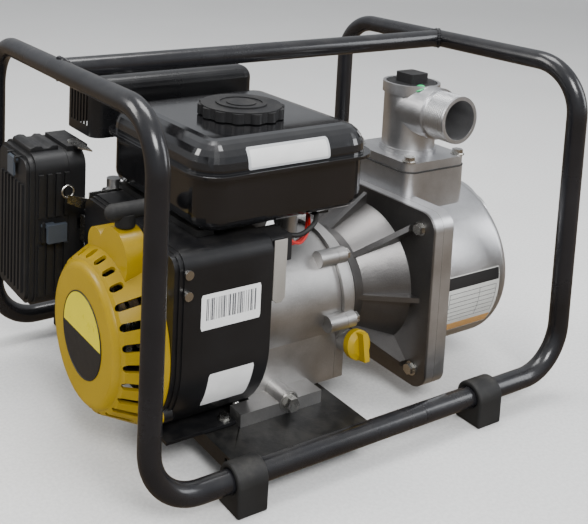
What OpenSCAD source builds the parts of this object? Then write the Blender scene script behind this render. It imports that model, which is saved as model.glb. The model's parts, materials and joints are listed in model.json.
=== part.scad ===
/* [Frame] */
// outside diameter of the frame tube
tube_d = 19; // [18:0.5:20]
// wall thickness of the frame tube
tube_wall = 1.6; // [1.2:0.1:2]
// length between the two end hoops, centre to centre
frame_l = 475; // [470:1:480]
// width between the two bottom rails, centre to centre
frame_w = 340; // [336:1:344]
// height of the bottom rails' centre line above the floor
rail_z = 26; // [25:0.5:27]
// height of the carrying bar's centre line above the floor
bar_z = 335; // [332:1:340]
// radius of the tube bends, on the centre line
bend_r = 48; // [44:1:52]

/* [Engine] */
// distance of the crankshaft from the frame's middle plane
crank_y = -45; // [-46:0.5:-44]
// height of the crankshaft above the floor
crank_z = 110; // [109:0.5:111]
// cylinder bore diameter
bore_d = 52; // [50:1:53]
// crank throw, half of the stroke
throw = 22; // [21:0.5:22]
// angle of the cylinder above the horizontal
lean = 25; // [24:1:26]
// largest radius of the starter cover
cover_r = 83; // [82:0.5:83]

/* [Fuel tank] */
// tank length along the crankshaft
tank_l = 196; // [190:1:198]
// tank width across the crankshaft
tank_w = 190; // [186:1:192]
// tank height from the bottom to the crown
tank_h = 78; // [76:1:79]
// filler cap diameter
cap_d = 82; // [78:1:84]

/* [Pump] */
// outside radius of the round pump casing
casing_r = 85; // [83:0.5:86]
// length of the pump casing with its flange
casing_l = 114; // [112:1:116]
// outside diameter of the threaded ports
port_d = 47.8; // [46:0.2:48]
// bore of the suction and discharge ports
port_bore = 40; // [38:0.5:41]
// impeller diameter
impeller_d = 100; // [96:1:104]

/* [Hidden] */
$fn = 48;
gap = 0.05;
tube_r = tube_d / 2;
hoop_x = frame_l / 2;
rail_y = frame_w / 2;
bar_y = 14;
seam_x = 50;
foot_xs = [-147, 128];
foot_l = 30;
foot_w = 29;

plate_x0 = -150;
plate_x1 = -8;
plate_top = 32;
plate_t = 3;
bolt_xs = [-106, -40];
bolt_ys = [-112, 34];
engine_foot_x0 = -117;
engine_foot_x1 = -27;
engine_foot_top = 44;
drain_x = -65;
drain_z = 43;
drain_y = crank_y - 77;

cyl_x = -46;
bore_r = bore_d / 2;
deck = 118;
case_r = 60;
case_x0 = -104;
case_x1 = 6;
face_x = 30;
ear_angles = [15, 75, 135, 190, 320];
ear_r = 64;
shaft_r = 8;
journal_r = 8.48;
bearing_r = 20;
cam_drop = 43;
gear_m = cam_drop / 22.5;

shroud_x0 = -195;
shroud_x1 = -98;
shroud_r = 87;
shroud_top = 206;
shroud_y1 = 42;
skirt_screw = [-127, -110];

cover_face_x = -236;
reel_x0 = -229;

tank_x = -73;
tank_y = -33;
tank_z0 = 212;
seam_z = 263;
cap_x = -75;
cap_y = -42;

flange_x0 = 84;
flange_x1 = 97;
casing_x0 = 97.3;
flange_w = 190;
flange_h = 176;
casing_x1 = casing_x0 + casing_l;
gov_x = -70;
gov_y = crank_y + 10;
strap_xs = [-150, -24];
line_y = 52;
screw_r = 84;
neck_x = 139;
neck_l = 82;
neck_w = 88;
neck_top = 222;
gasket_t = 1.6;
out_z = 279;
suction_z = 145;
port_r = port_d / 2;
port_bore_r = port_bore / 2;

steel = [0.62, 0.63, 0.65];
silver = [0.70, 0.71, 0.72];
black = [0.06, 0.06, 0.07];
dark = [0.17, 0.18, 0.19];
yellow = [0.93, 0.76, 0.05];
rubber = [0.08, 0.08, 0.08];

// ---------------------------------------------------------------- helpers

// solid cylinder along X, by default about the crankshaft's axis
module rod_x(r, x0, x1, y = crank_y, z = crank_z, fn = $fn) {
    translate([x0, y, z]) rotate([0, 90, 0]) cylinder(r = r, h = x1 - x0, $fn = fn);
}

// cone along X about the crankshaft's axis
module cone_x(r0, r1, x0, x1) {
    translate([x0, crank_y, crank_z]) rotate([0, 90, 0]) cylinder(r1 = r0, r2 = r1, h = x1 - x0);
}

// solid cylinder along Y
module rod_y(r, y0, y1, x, z) {
    translate([x, y1, z]) rotate([90, 0, 0]) cylinder(r = r, h = y1 - y0);
}

// solid cylinder along Z
module rod_z(r, z0, z1, x, y) {
    translate([x, y, z0]) cylinder(r = r, h = z1 - z0);
}

// box given by its two corners
module box(a, b) {
    translate(a) cube(b - a);
}

// profile drawn in the Y-Z plane and pushed along X from x0 to x1
module along_x(x0, x1) {
    translate([x0, 0, 0]) rotate([90, 0, 90]) linear_extrude(x1 - x0) children();
}

// flat rectangle with round corners, centred
module round_rect(w, h, r) {
    square([w - 2 * r, h], center = true);
    square([w, h - 2 * r], center = true);
    for (sx = [-1, 1], sy = [-1, 1])
        translate([sx * (w / 2 - r), sy * (h / 2 - r)]) circle(r);
}

// places children with local Z along the cylinder, local X along the crankshaft
module on_bore() {
    translate([cyl_x, crank_y, crank_z]) rotate([lean - 90, 0, 0]) children();
}

// places children at the cover's bolt ears, along X
module at_ears() {
    for (a = ear_angles)
        translate([0, crank_y + ear_r * cos(a), crank_z + ear_r * sin(a)]) children();
}

// hexagonal bolt head with a washer, standing on z = 0
module hex_head(r, h) {
    cylinder(r = r * 1.25, h = 1);
    translate([0, 0, 1]) cylinder(r = r, h = h - 1, $fn = 6);
}

// toothed disc along X: trapezoid teeth with working clearance
module gear_x(teeth, x0, x1, phase) {
    pitch_r = gear_m * teeth / 2;
    root_r = pitch_r - 2.1;
    tip_r = pitch_r + 1.5;
    along_x(x0, x1) {
        rotate(phase + 3) circle(root_r);
        for (i = [0:teeth - 1])
            rotate(i * 360 / teeth + phase)
                polygon([[root_r - 1, -1.5], [tip_r, -0.6], [tip_r, 0.6], [root_r - 1, 1.5]]);
    }
}

// ---------------------------------------------------------------- frame

module tube_ring() {
    difference() {
        circle(tube_r);
        circle(tube_r - tube_wall);
    }
}

module tube_straight(l) {
    linear_extrude(l) tube_ring();
}

module tube_bend() {
    rotate_extrude(angle = 90) translate([bend_r, 0]) tube_ring();
}

// one end hoop: two legs and a top, with the legs bent inwards to form the bottom rails
module hoop(rail_len) {
    leg = bar_z - rail_z - 2 * bend_r;
    for (s = [-1, 1]) translate([-hoop_x, s * rail_y, 0]) {
        translate([bend_r, 0, rail_z]) rotate([0, 90, 0]) tube_straight(rail_len - bend_r);
        translate([bend_r, 0, rail_z + bend_r]) rotate([90, 180, 0]) tube_bend();
        translate([0, 0, rail_z + bend_r]) tube_straight(leg);
    }
    translate([-hoop_x, rail_y - bend_r, bar_z - bend_r]) rotate([90, 0, 90]) tube_bend();
    translate([-hoop_x, bend_r - rail_y, bar_z - bend_r])
        rotate([90, 0, 90]) rotate(90) tube_bend();
    translate([-hoop_x, bend_r - rail_y, bar_z]) rotate([-90, 0, 0])
        tube_straight(frame_w - 2 * bend_r);
}

module frame_hoop_left() {
    color(black) hoop(hoop_x + seam_x - gap);
}

module frame_hoop_right() {
    color(black) mirror([1, 0, 0]) hoop(hoop_x - seam_x - gap);
}

module carry_bar() {
    color(black) difference() {
        translate([-hoop_x, bar_y, bar_z]) rotate([0, 90, 0]) tube_straight(frame_l);
        for (s = [-1, 1])
            rod_y(tube_r + gap, bar_y - 20, bar_y + 20, s * hoop_x, bar_z);
    }
}

// rails as solid rods, to cut seats in the parts that sit on them
module rail_cut(grow) {
    for (s = [-1, 1])
        rod_x(tube_r + grow, -hoop_x + bend_r, hoop_x - bend_r, s * rail_y, rail_z);
}

module base_plate() {
    edge = rail_y - 3;
    color(black) difference() {
        union() {
            box([plate_x0, -edge, plate_top - plate_t], [plate_x1, edge, plate_top]);
            for (s = [-1, 1], x = [plate_x0, plate_x1 - plate_t])
                box([x, -rail_y + 24, plate_top - 14], [x + plate_t, rail_y - 24, plate_top]);
        }
        rail_cut(gap);
        foot_blocks(0.3);
        for (x = bolt_xs, y = bolt_ys) rod_z(4.3, 20, 40, x, y);
    }
}

// rubber blocks around the rails, grown on every side to cut room for them
module foot_blocks(grow) {
    half_l = foot_l / 2 + grow;
    half_w = foot_w / 2 + grow;
    for (x = foot_xs, s = [-1, 1]) {
        rod_x(half_w, x - half_l, x + half_l, s * rail_y, rail_z);
        box([x - half_l, s * rail_y - half_w, 0], [x + half_l, s * rail_y + half_w, rail_z]);
    }
}

module rubber_feet() {
    color(rubber) difference() {
        foot_blocks(0);
        rail_cut(gap);
    }
}

// bolts from under the base plate into the engine's feet
module mount_bolts() {
    color(steel) for (x = bolt_xs, y = bolt_ys) {
        rod_z(4, plate_top - plate_t - 1, engine_foot_top - 3, x, y);
        translate([x, y, plate_top - plate_t]) mirror([0, 0, 1]) hex_head(7.2, 6.5);
    }
}

// ---------------------------------------------------------------- engine block

module crankcase() {
    fin_top = 108;
    color(silver) difference() {
        union() {
            rod_x(case_r, case_x0, case_x1);
            box([case_x0 + 8, crank_y - 54, 36], [case_x1, crank_y + 57, crank_z]);
            box([case_x0 + 8, crank_y - 74, plate_top], [engine_foot_x1, crank_y + 88, 36.5]);
            for (y = [[bolt_ys[0] - 9, bolt_ys[0] + 8], [bolt_ys[1] - 17, bolt_ys[1] + 13]])
                box([engine_foot_x0, y[0], plate_top], [engine_foot_x1, y[1], engine_foot_top]);
            box([case_x0 + 8, bolt_ys[0], plate_top], [engine_foot_x1, crank_y - 50, engine_foot_top]);
            rod_y(10, drain_y, crank_y - 50, drain_x, drain_z);
            rod_x(30, -114, case_x0 + 1);
            on_bore() {
                translate([0, 0, 40]) cylinder(r = bore_r + 6, h = deck - 40);
                for (z = [64:8:fin_top])
                    translate([0, 0, z]) linear_extrude(2.4) round_rect(84, 78, 8);
                translate([0, 0, deck - 5]) linear_extrude(5) round_rect(84, 78, 8);
            }
            at_ears() rod_x(8, case_x1 - 20, case_x1, 0, 0);
            rod_z(10, 150, 176, gov_x, gov_y);
            rod_z(8, 150, shroud_top, strap_xs[1], crank_y - 13);
        }
        rod_x(case_r - 6, case_x0 + 6, case_x1 + 1);
        box([case_x0 + 14, crank_y - 48, 36.5], [case_x1 + 1, crank_y + 51, crank_z]);
        rod_x(bearing_r, -109, case_x0 + 7);
        rod_x(journal_r + 0.8, -115, -108);
        rod_x(6.05, case_x0 + 10, case_x0 + 15, crank_y, crank_z - cam_drop);
        on_bore() translate([0, 0, 10]) cylinder(r = bore_r, h = deck);
        at_ears() rod_x(2.5, case_x1 - 16, case_x1 + 1, 0, 0);
        for (x = bolt_xs, y = bolt_ys) rod_z(4.3, 30, engine_foot_top - 2, x, y);
        rod_z(3.1, 140, 180, gov_x, gov_y);
        rod_z(3.05, 190, shroud_top + 1, strap_xs[1], crank_y - 13);
        rod_y(5.1, drain_y - 1, crank_y - 47, drain_x, drain_z);
    }
}

// inclined axis of the oil filler neck, local Z pointing outwards
module oil_neck() {
    translate([18, crank_y - 40, 70]) rotate([80, 0, 0]) children();
}

// side cover on the driving end: carries the second bearing and the pump's bolting face
module crankcase_cover() {
    x0 = case_x1 + 0.3;
    color(silver) difference() {
        union() {
            rod_x(case_r + 4, x0, 17);
            rod_x(case_r - 4, 17, 26);
            rod_x(49, 26, face_x);
            box([x0, crank_y - 54, 36], [17, crank_y + 60, crank_z]);
            at_ears() rod_x(8, x0, 17, 0, 0);
            oil_neck() cylinder(r = 11, h = 28);
        }
        rod_x(case_r - 12, x0 - 1, 12);
        rod_x(bearing_r, x0 - 1, 21);
        rod_x(journal_r + 0.8, 20, face_x + 1);
        rod_x(6.05, x0 - 1, 19, crank_y, crank_z - cam_drop);
        at_ears() rod_x(3.1, x0 - 1, 18, 0, 0);
        oil_neck() translate([0, 0, 8]) cylinder(r = 8.05, h = 30);
        for (a = [45:90:315])
            translate([0, crank_y + 40 * cos(a), crank_z + 40 * sin(a)])
                rod_x(2.5, 18, face_x + 1, 0, 0);
    }
}

// bolts of the side cover and of the cylinder head
module engine_bolts() {
    color(steel) {
        at_ears() {
            rod_x(2.4, case_x1 - 14, 18, 0, 0);
            translate([17, 0, 0]) rotate([0, 90, 0]) hex_head(5.5, 5.5);
        }
        on_bore() for (sx = [-1, 1], sy = [-1, 1])
            translate([sx * 35, sy * 32, deck + 5.4]) hex_head(5, 3.6);
    }
}

module cylinder_head() {
    z0 = deck + 0.3;
    color(silver) difference() {
        on_bore() {
            translate([0, 0, z0]) linear_extrude(5) round_rect(84, 78, 8);
            translate([0, 0, z0]) linear_extrude(24) round_rect(60, 56, 8);
            for (z = [z0 + 9:7:z0 + 17])
                translate([0, 0, z]) linear_extrude(2.2) round_rect(84, 74, 8);
            translate([0, 0, z0 + 20]) linear_extrude(4) round_rect(72, 66, 8);
            translate([0, 0, z0 + 12]) rotate([0, -90, 0]) cylinder(r = 11, h = 42);
            translate([0, 0, z0 + 12]) rotate([0, 90, 0]) cylinder(r = 11, h = 42);
        }
        on_bore() {
            translate([0, 0, z0 - 1]) cylinder(r = bore_r - 3, h = 5);
            translate([-20, 0, z0 + 12]) rotate([0, -90, 0]) cylinder(r = 8, h = 30);
            translate([20, 0, z0 + 12]) rotate([0, 90, 0]) cylinder(r = 8, h = 30);
            translate([0, 16, z0 + 14]) rotate([-90, 0, 0]) cylinder(r = 6.1, h = 40);
        }
    }
}

module rocker_cover() {
    z0 = deck + 24.6;
    color(black) on_bore() {
        translate([0, 0, z0]) linear_extrude(3) round_rect(70, 64, 9);
        difference() {
            translate([0, 0, z0]) linear_extrude(26) round_rect(62, 56, 12);
            translate([0, 0, z0 - 1]) linear_extrude(24) round_rect(57, 51, 10);
        }
    }
}

module main_bearings() {
    color(steel) for (x = [case_x0 - 4.9, 8.5]) difference() {
        rod_x(bearing_r - 0.02, x, x + 10.5);
        rod_x(journal_r + gap, x - 1, x + 12);
        for (s = [x - 1, x + 9.5]) difference() {
            rod_x(16, s, s + 2);
            rod_x(12, s - 1, s + 3);
        }
    }
}

module crankshaft() {
    pin_y = crank_y + throw * cos(lean);
    pin_z = crank_z + throw * sin(lean);
    color(steel) {
        rod_x(shaft_r, -202, -112);
        rod_x(journal_r, -112, -71);
        for (x = [-72, -32]) difference() {
            rod_x(32, x, x + 12);
            translate([0, crank_y + 44 * cos(lean), crank_z + 44 * sin(lean)])
                rotate([lean, 0, 0]) for (s = [-1, 1])
                    box([x - 1, -25, s * 28 - 13], [x + 13, 25, s * 28 + 13]);
        }
        rod_x(9.5, -61, -31, pin_y, pin_z);
        rod_x(journal_r, -21, 21);
        translate([0, crank_y, crank_z]) gear_x(15, -18, -12, -90);
        rod_x(shaft_r, 20, 102);
        rod_x(5, 101, 122);
    }
}

module camshaft() {
    cam_z = crank_z - cam_drop;
    color(steel) {
        rod_x(6, -93, 18, crank_y, cam_z);
        translate([0, crank_y, cam_z]) gear_x(30, -18, -12, 96);
        for (c = [[-66, 30], [-34, 140]]) {
            rod_x(8, c[0], c[0] + 9, crank_y, cam_z);
            translate([0, crank_y, cam_z]) rotate([c[1], 0, 0])
                rod_x(6, c[0] + 0.5, c[0] + 8.5, 5, 0);
        }
    }
}

// the rod's crank end is a shallow saddle outside the crank pin's path
module connecting_rod() {
    color(silver) on_bore() difference() {
        union() {
            translate([-8, 0, 92]) rotate([0, 90, 0]) cylinder(r = 10, h = 16);
            translate([-5, -7, 36]) cube([10, 14, 50]);
            translate([-8, -14, 33.5]) cube([16, 28, 6]);
        }
        translate([-9, 0, 92]) rotate([0, 90, 0]) cylinder(r = 6.02, h = 18);
        translate([-9, 0, 0]) rotate([0, 90, 0]) cylinder(r = 34, h = 18);
    }
}

// piston with its wrist pin as a second solid
module piston() {
    color(silver) on_bore() {
        difference() {
            translate([0, 0, 78]) cylinder(r = bore_r - gap, h = deck - 79);
            translate([0, 0, 77]) cylinder(r = bore_r - 4, h = deck - 84);
            translate([-30, 0, 92]) rotate([0, 90, 0]) cylinder(r = 6.02, h = 60);
            for (z = [104, 109]) translate([0, 0, z]) difference() {
                cylinder(r = bore_r + 1, h = 1.5);
                translate([0, 0, -1]) cylinder(r = bore_r - 1.6, h = 4);
            }
        }
        translate([-20, 0, 92]) rotate([0, 90, 0]) cylinder(r = 6, h = 40);
    }
}

module flywheel() {
    blade_count = 16;
    color(dark) difference() {
        union() {
            rod_x(68, -180, -152);
            rod_x(17, -184, -128);
            for (i = [0:blade_count - 1])
                translate([-190, crank_y, crank_z]) rotate([i * 360 / blade_count, 0, 0])
                    translate([0, 42, 0]) rotate([28, 0, 0])
                        cube([11, 27, 2.4]);
        }
        difference() {
            rod_x(60, -173, -151);
            rod_x(17, -174, -150);
        }
        rod_x(shaft_r + 0.02, -200, -100);
    }
}

// slotted cup that the starter's dogs catch, with the flywheel nut
module starter_cup() {
    color(steel) {
        difference() {
            rod_x(34, -203, -184.3);
            rod_x(32, -204, -186);
            rod_x(shaft_r + 0.02, -190, -180);
            for (a = [0:60:300]) translate([0, crank_y, crank_z]) rotate([a, 0, 0])
                box([-200, 28, -5], [-190, 38, 5]);
        }
        difference() {
            translate([-195, crank_y, crank_z]) rotate([0, 90, 0]) cylinder(r = 13, h = 8.8, $fn = 6);
            rod_x(shaft_r + 0.02, -196, -180);
        }
    }
}

// filler cap with a flat wing, set in the side cover's inclined neck
module oil_filler_cap() {
    color(yellow) oil_neck() {
        translate([0, 0, 12]) cylinder(r = 8, h = 17);
        translate([0, 0, 28.2]) cylinder(r = 14, h = 6);
        translate([0, 0, 34.2]) cylinder(r1 = 14, r2 = 9, h = 3);
        translate([-3, -13, 28.5]) cube([6, 26, 16]);
    }
}

module oil_drain_plug() {
    color(steel) translate([drain_x, drain_y - 0.1, drain_z]) rotate([90, 0, 0]) {
        translate([0, 0, -14]) cylinder(r = 5, h = 14.1);
        hex_head(7, 7);
    }
}

// ---------------------------------------------------------------- cooling and starting

// side view of the fan housing: a drum with a straight near wall up to the tank
module shroud_profile(shrink) {
    r = shroud_r - shrink;
    corner = 14 - shrink;
    y0 = crank_y - r;
    y1 = shroud_y1 - shrink;
    z1 = shroud_top - shrink;
    translate([crank_y, crank_z]) circle(r);
    translate([y0, crank_z]) square([y1 - y0, z1 - crank_z - corner]);
    translate([y0 + corner, crank_z]) square([y1 - y0 - 2 * corner, z1 - crank_z]);
    for (y = [y0 + corner, y1 - corner]) translate([y, z1 - corner]) circle(corner);
}

module blower_shroud() {
    wall = 1.8;
    color(black) difference() {
        union() {
            along_x(shroud_x0 + 8, shroud_x1) shroud_profile(0);
            along_x(shroud_x0 + 4, shroud_x0 + 9) shroud_profile(1.5);
            along_x(shroud_x0, shroud_x0 + 5) shroud_profile(3);
            at_cover_screws() rod_x(7, shroud_x0, shroud_x0 + 8.5, 0, 0);
            box([-190, -117, 34], [engine_foot_x0 - 2, -84, 37]);
        }
        along_x(shroud_x0 + wall + 3, shroud_x1 + 1) shroud_profile(wall + 3);
        along_x(shroud_x0 + 10, shroud_x1 + 1) shroud_profile(wall);
        rod_x(64, shroud_x0 - 1, shroud_x0 + 8);
        box([-220, -140, 0], [-90, 60, plate_top + 1.5]);
        box([-155, shroud_y1 - 6, 120], [-90, shroud_y1 + 2, 190]);
        at_cover_screws() rod_x(2.1, shroud_x0 - 1, shroud_x0 + 6, 0, 0);
        rod_z(3.1, 32, 40, skirt_screw[0], skirt_screw[1]);
        strap_studs(strap_xs[0]) rod_z(3.4, shroud_top - 6, shroud_top + 1, 0, 0);
    }
}

module shroud_screws() {
    color(steel) {
        at_cover_screws() {
            rod_x(2, shroud_x0 - 3.3, shroud_x0 + 3, 0, 0);
            translate([shroud_x0 - 3.2, 0, 0]) rotate([0, -90, 0]) hex_head(4, 4.5);
        }
        rod_z(3, 33, 38, skirt_screw[0], skirt_screw[1]);
        translate([skirt_screw[0], skirt_screw[1], 37.1]) hex_head(4.6, 4.6);
        for (z = [172, 190])
            rod_y(4, crank_y - shroud_r - 3, crank_y - shroud_r - 0.1, -184, z);
        translate([-106, crank_y, crank_z]) rotate([54, 0, 0])
            rod_y(4, -shroud_r - 3, -shroud_r - 0.1, 0, 0);
    }
}

// three fixing points of the starter cover
module at_cover_screws() {
    for (a = [140, 215, 325])
        translate([0, crank_y + screw_r * cos(a), crank_z + screw_r * sin(a)]) children();
}

// radius of the starter cover at a given distance from its face
function cover_at(d) = 64 + (cover_r - 64) * d / 38;

module cover_outline(shrink) {
    face = shrink;
    edge = 7;
    depth = shroud_x0 - cover_face_x - 0.2;
    polygon(concat(
        [[0, face], [57 - shrink, face]],
        [for (a = [15:15:75]) [57 - shrink + edge * sin(a), face + edge * (1 - cos(a))]],
        [[cover_at(edge) - shrink, edge + face], [cover_r - shrink, depth - 2]],
        [[cover_r - shrink, depth + shrink], [0, depth + shrink]]));
}

module cover_solid(shrink) {
    translate([cover_face_x, crank_y, crank_z]) rotate([0, 90, 0])
        rotate_extrude() cover_outline(shrink);
}

module recoil_cover() {
    slots = 26;
    rope_y = crank_y - 18;
    color(yellow) difference() {
        union() {
            cover_solid(0);
            along_x(shroud_x0 - 22, shroud_x0 - 0.2) {
                translate([rope_y, crank_z + 74]) circle(26);
                translate([rope_y + 34, crank_z + 74]) circle(15);
            }
            at_cover_screws() rod_x(7, shroud_x0 - 3.2, shroud_x0 - 0.2, 0, 0);
        }
        difference() {
            cover_solid(2.6);
            rod_x(6, cover_face_x, -206);
        }
        at_cover_screws() {
            rod_x(5.6, shroud_x0 - 8.5, shroud_x0 - 3.2, 0, 0);
            rod_x(2.1, shroud_x0 - 5, shroud_x0 + 1, 0, 0);
        }
        for (a = [0:360 / slots:359]) {
            short = a > 60 && a < 130;
            translate([cover_face_x + (short ? 12 : 18), crank_y, crank_z]) rotate([a, 0, 0])
                translate([0, 52, 0]) rotate([-90, 0, 0])
                    linear_extrude(40) round_rect(short ? 11 : 24, 6.6, 3);
        }
        along_x(shroud_x0 - 19, shroud_x0 + 1) translate([rope_y, crank_z + 74]) circle(22);
        rod_z(3.2, crank_z + 70, crank_z + 110, shroud_x0 - 11, rope_y);
    }
}

// rope reel with its flat coil spring as a second solid
module recoil_reel() {
    color(dark) difference() {
        union() {
            rod_x(44, reel_x0 + 4, reel_x0 + 6);
            rod_x(38, reel_x0 + 5, reel_x0 + 12);
            rod_x(44, reel_x0 + 11, reel_x0 + 13);
            rod_x(13, reel_x0 + 4, reel_x0 + 18);
            for (s = [-1, 1]) translate([0, crank_y, crank_z]) rotate([s * 90, 0, 0])
                box([reel_x0 + 12, 14, -5], [reel_x0 + 22, 26, 5]);
        }
        rod_x(6.06, reel_x0 - 2, reel_x0 + 20);
        difference() {
            rod_x(30, reel_x0 + 2, reel_x0 + 10);
            rod_x(13, reel_x0 + 1, reel_x0 + 11);
        }
    }
    color(steel) for (i = [0:4]) difference() {
        rod_x(28.5 - 3 * i, reel_x0 + 4, reel_x0 + 9.5);
        rod_x(27.5 - 3 * i, reel_x0 + 3, reel_x0 + 11);
    }
}

module pull_handle() {
    x = shroud_x0 - 11;
    y = crank_y - 18;
    color(black) {
        rod_z(2, crank_z + 84, crank_z + 107, x, y);
        rod_z(9, crank_z + 101, crank_z + 112, x, y);
        translate([x - 12, y, crank_z + 114]) rotate([0, 90, 0]) cylinder(r = 7.5, h = 36);
        for (dx = [-12, 24]) translate([x + dx, y, crank_z + 114]) sphere(7.5);
    }
}

// ---------------------------------------------------------------- fuel

// one stamped half: flat plan with round corners and a rolled outer edge
module tank_half(l, w, z0, z1, roll, corner) {
    up = z1 > z0 ? 1 : -1;
    hull() for (sx = [-1, 1], sy = [-1, 1])
        translate([sx * (l / 2 - corner), sy * (w / 2 - corner), 0])
            rotate_extrude($fn = 32) polygon(concat([[0, z0], [corner, z0]],
                [for (a = [0:15:90])
                    [corner - roll * (1 - cos(a)), z1 - up * roll * (1 - sin(a))]],
                [[0, z1]]));
}

module fuel_tank() {
    wall = 1.5;
    top = tank_z0 + tank_h;
    color(black) translate([tank_x, tank_y, 0]) difference() {
        union() {
            tank_half(tank_l - 10, tank_w - 10, seam_z, top, 22, 26);
            tank_half(tank_l - 14, tank_w - 14, seam_z, tank_z0, 14, 24);
            translate([0, 0, seam_z - 1.6]) linear_extrude(3.2) round_rect(tank_l, tank_w, 28);
            rod_z(27, top - 4, top + 4, cap_x - tank_x, cap_y - tank_y);
        }
        tank_half(tank_l - 10 - 2 * wall, tank_w - 10 - 2 * wall, seam_z, top - wall, 20.5, 24.5);
        tank_half(tank_l - 14 - 2 * wall, tank_w - 14 - 2 * wall, seam_z + 0.5, tank_z0 + wall, 12.5, 22.5);
        rod_z(24, top - 8, top + 5, cap_x - tank_x, cap_y - tank_y);
    }
}

module fuel_cap() {
    top = tank_z0 + tank_h;
    lobes = 14;
    color(black) translate([cap_x, cap_y, 0]) difference() {
        union() {
            translate([0, 0, top + 1]) cylinder(r = cap_d / 2 - 3, h = 10);
            for (i = [0:lobes - 1]) rotate(i * 360 / lobes)
                translate([cap_d / 2 - 6.5, 0, top + 1]) cylinder(r = 6.5, h = 9, $fn = 24);
            translate([0, 0, top + 11]) cylinder(r = 24, h = 1.5);
        }
        translate([0, 0, top]) cylinder(r = 29, h = 5);
        translate([0, 0, top + 11.5]) difference() {
            cylinder(r = 20, h = 2);
            translate([0, 0, -1]) cylinder(r = 14, h = 4);
        }
    }
}

// studs of a tank strap
module strap_studs(x) {
    ys = x == strap_xs[0] ? [tank_y - 60, tank_y + 52] : [crank_y - 13];
    for (y = ys) translate([x, y, 0]) children();
}

// two steel straps that carry the tank, with studs and nuts underneath
module tank_straps() {
    color(black) for (x = strap_xs)
        box([x - 9, tank_y - 70, shroud_top + 0.3], [x + 9, tank_y + 72, tank_z0 - 0.2]);
    color(steel) {
        strap_studs(strap_xs[0]) {
            rod_z(3, shroud_top - 12, shroud_top + 1, 0, 0);
            translate([0, 0, shroud_top - 8]) cylinder(r = 6, h = 6, $fn = 6);
        }
        strap_studs(strap_xs[1]) rod_z(3, shroud_top - 12, shroud_top + 1, 0, 0);
    }
}

module fuel_valve() {
    color(dark) {
        rod_z(7, 190, tank_z0 - 0.2, -158, line_y);
        rod_x(6, -168, -150, line_y, 197);
        rod_z(3.6, 174.2, 193, -158, line_y);
        rod_z(2.1, 162, 176, -158, line_y);
    }
}

module fuel_valve_lever() {
    color(steel) {
        rod_x(5, -149.9, -145, line_y, 197);
        box([-148.5, line_y - 3, 194], [-146, line_y + 20, 200]);
    }
}

module hose_ring() {
    difference() {
        circle(3.6);
        circle(2.2);
    }
}

// hose from the valve under the tank down to the carburettor's float bowl
module fuel_hose() {
    down = 158;
    bend_a = 16;
    bend_b = 9;
    low = down - bend_a;
    color(rubber) {
        translate([-158, line_y, down]) linear_extrude(16) hose_ring();
        translate([-158, line_y + bend_a, down]) rotate([90, 0, 90]) rotate(180)
            rotate_extrude(angle = 90) translate([bend_a, 0]) hose_ring();
        translate([bend_b - 158, line_y + bend_a, low]) rotate(90)
            rotate_extrude(angle = 90) translate([bend_b, 0]) hose_ring();
        translate([bend_b - 158, line_y + bend_a + bend_b, low])
            rotate([0, 90, 0]) linear_extrude(12) hose_ring();
    }
}

// ---------------------------------------------------------------- intake and exhaust

carb_y = crank_y + (deck + 12.3) * cos(lean);
carb_z = crank_z + (deck + 12.3) * sin(lean);
port_x = cyl_x - 42;

module canister(shrink) {
    translate([102, 276]) round_rect(56 - 2 * shrink, 44 - 2 * shrink, 21 - shrink);
}

module muffler() {
    out_x = cyl_x + 42;
    pipe_x = out_x + 10;
    pipe_y = carb_y + 15;
    color(dark) difference() {
        union() {
            along_x(-150, 8) canister(0);
            along_x(-152, -148) canister(-2);
            along_x(6, 10) canister(-2);
            rod_z(9.6, carb_z - 9, 256, pipe_x, pipe_y);
            rod_x(16, out_x + 0.3, out_x + 5, carb_y, carb_z);
            box([out_x + 4, carb_y - 10, carb_z - 9], [pipe_x, carb_y + 12, carb_z + 9]);
        }
        along_x(-147, 5) canister(2);
        rod_z(7.6, carb_z - 3, 258, pipe_x, pipe_y);
        rod_x(7.5, out_x, pipe_x - 1, carb_y, carb_z);
        box([pipe_x - 6, carb_y - 5, carb_z - 5], [pipe_x - 2, pipe_y, carb_z + 5]);
        rod_x(11, -155, -145, 106, 276);
    }
}

module muffler_guard() {
    wall = 1.4;
    x0 = -174;
    x1 = 20;
    y0 = 68;
    y1 = 136;
    z0 = 248;
    z1 = 308;
    r = 13;
    color(black) difference() {
        hull() for (x = [x0 + r, x1 - r], y = [y0 + r, y1 - r]) {
            translate([x, y, z1 - r]) sphere(r, $fn = 32);
            translate([x, y, z0]) cylinder(r = r, h = 10, $fn = 32);
        }
        hull() for (x = [x0 + r, x1 - r], y = [y0 + r, y1 - r]) {
            translate([x, y, z1 - r]) sphere(r - wall, $fn = 32);
            translate([x, y, z0 - 1]) cylinder(r = r - wall, h = 10, $fn = 32);
        }
        for (i = [0:5]) box([x0 - 1, y0 + 14 + i * 7, z0 + 10], [x0 + 4, y0 + 17.5 + i * 7, z1 - 18]);
    }
}

ac_x0 = -242.4;
ac_y0 = 66;
ac_y1 = 150;
ac_z0 = 84;
ac_z1 = 238;
face_clip_y = 103;
face_clip_z = 230;
side_clip_z = 163;

module cleaner_outline(shrink) {
    translate([(ac_y0 + ac_y1) / 2, (ac_z0 + ac_z1) / 2])
        round_rect(ac_y1 - ac_y0 - 2 * shrink, ac_z1 - ac_z0 - 2 * shrink, max(16 - shrink, 3));
}

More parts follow.
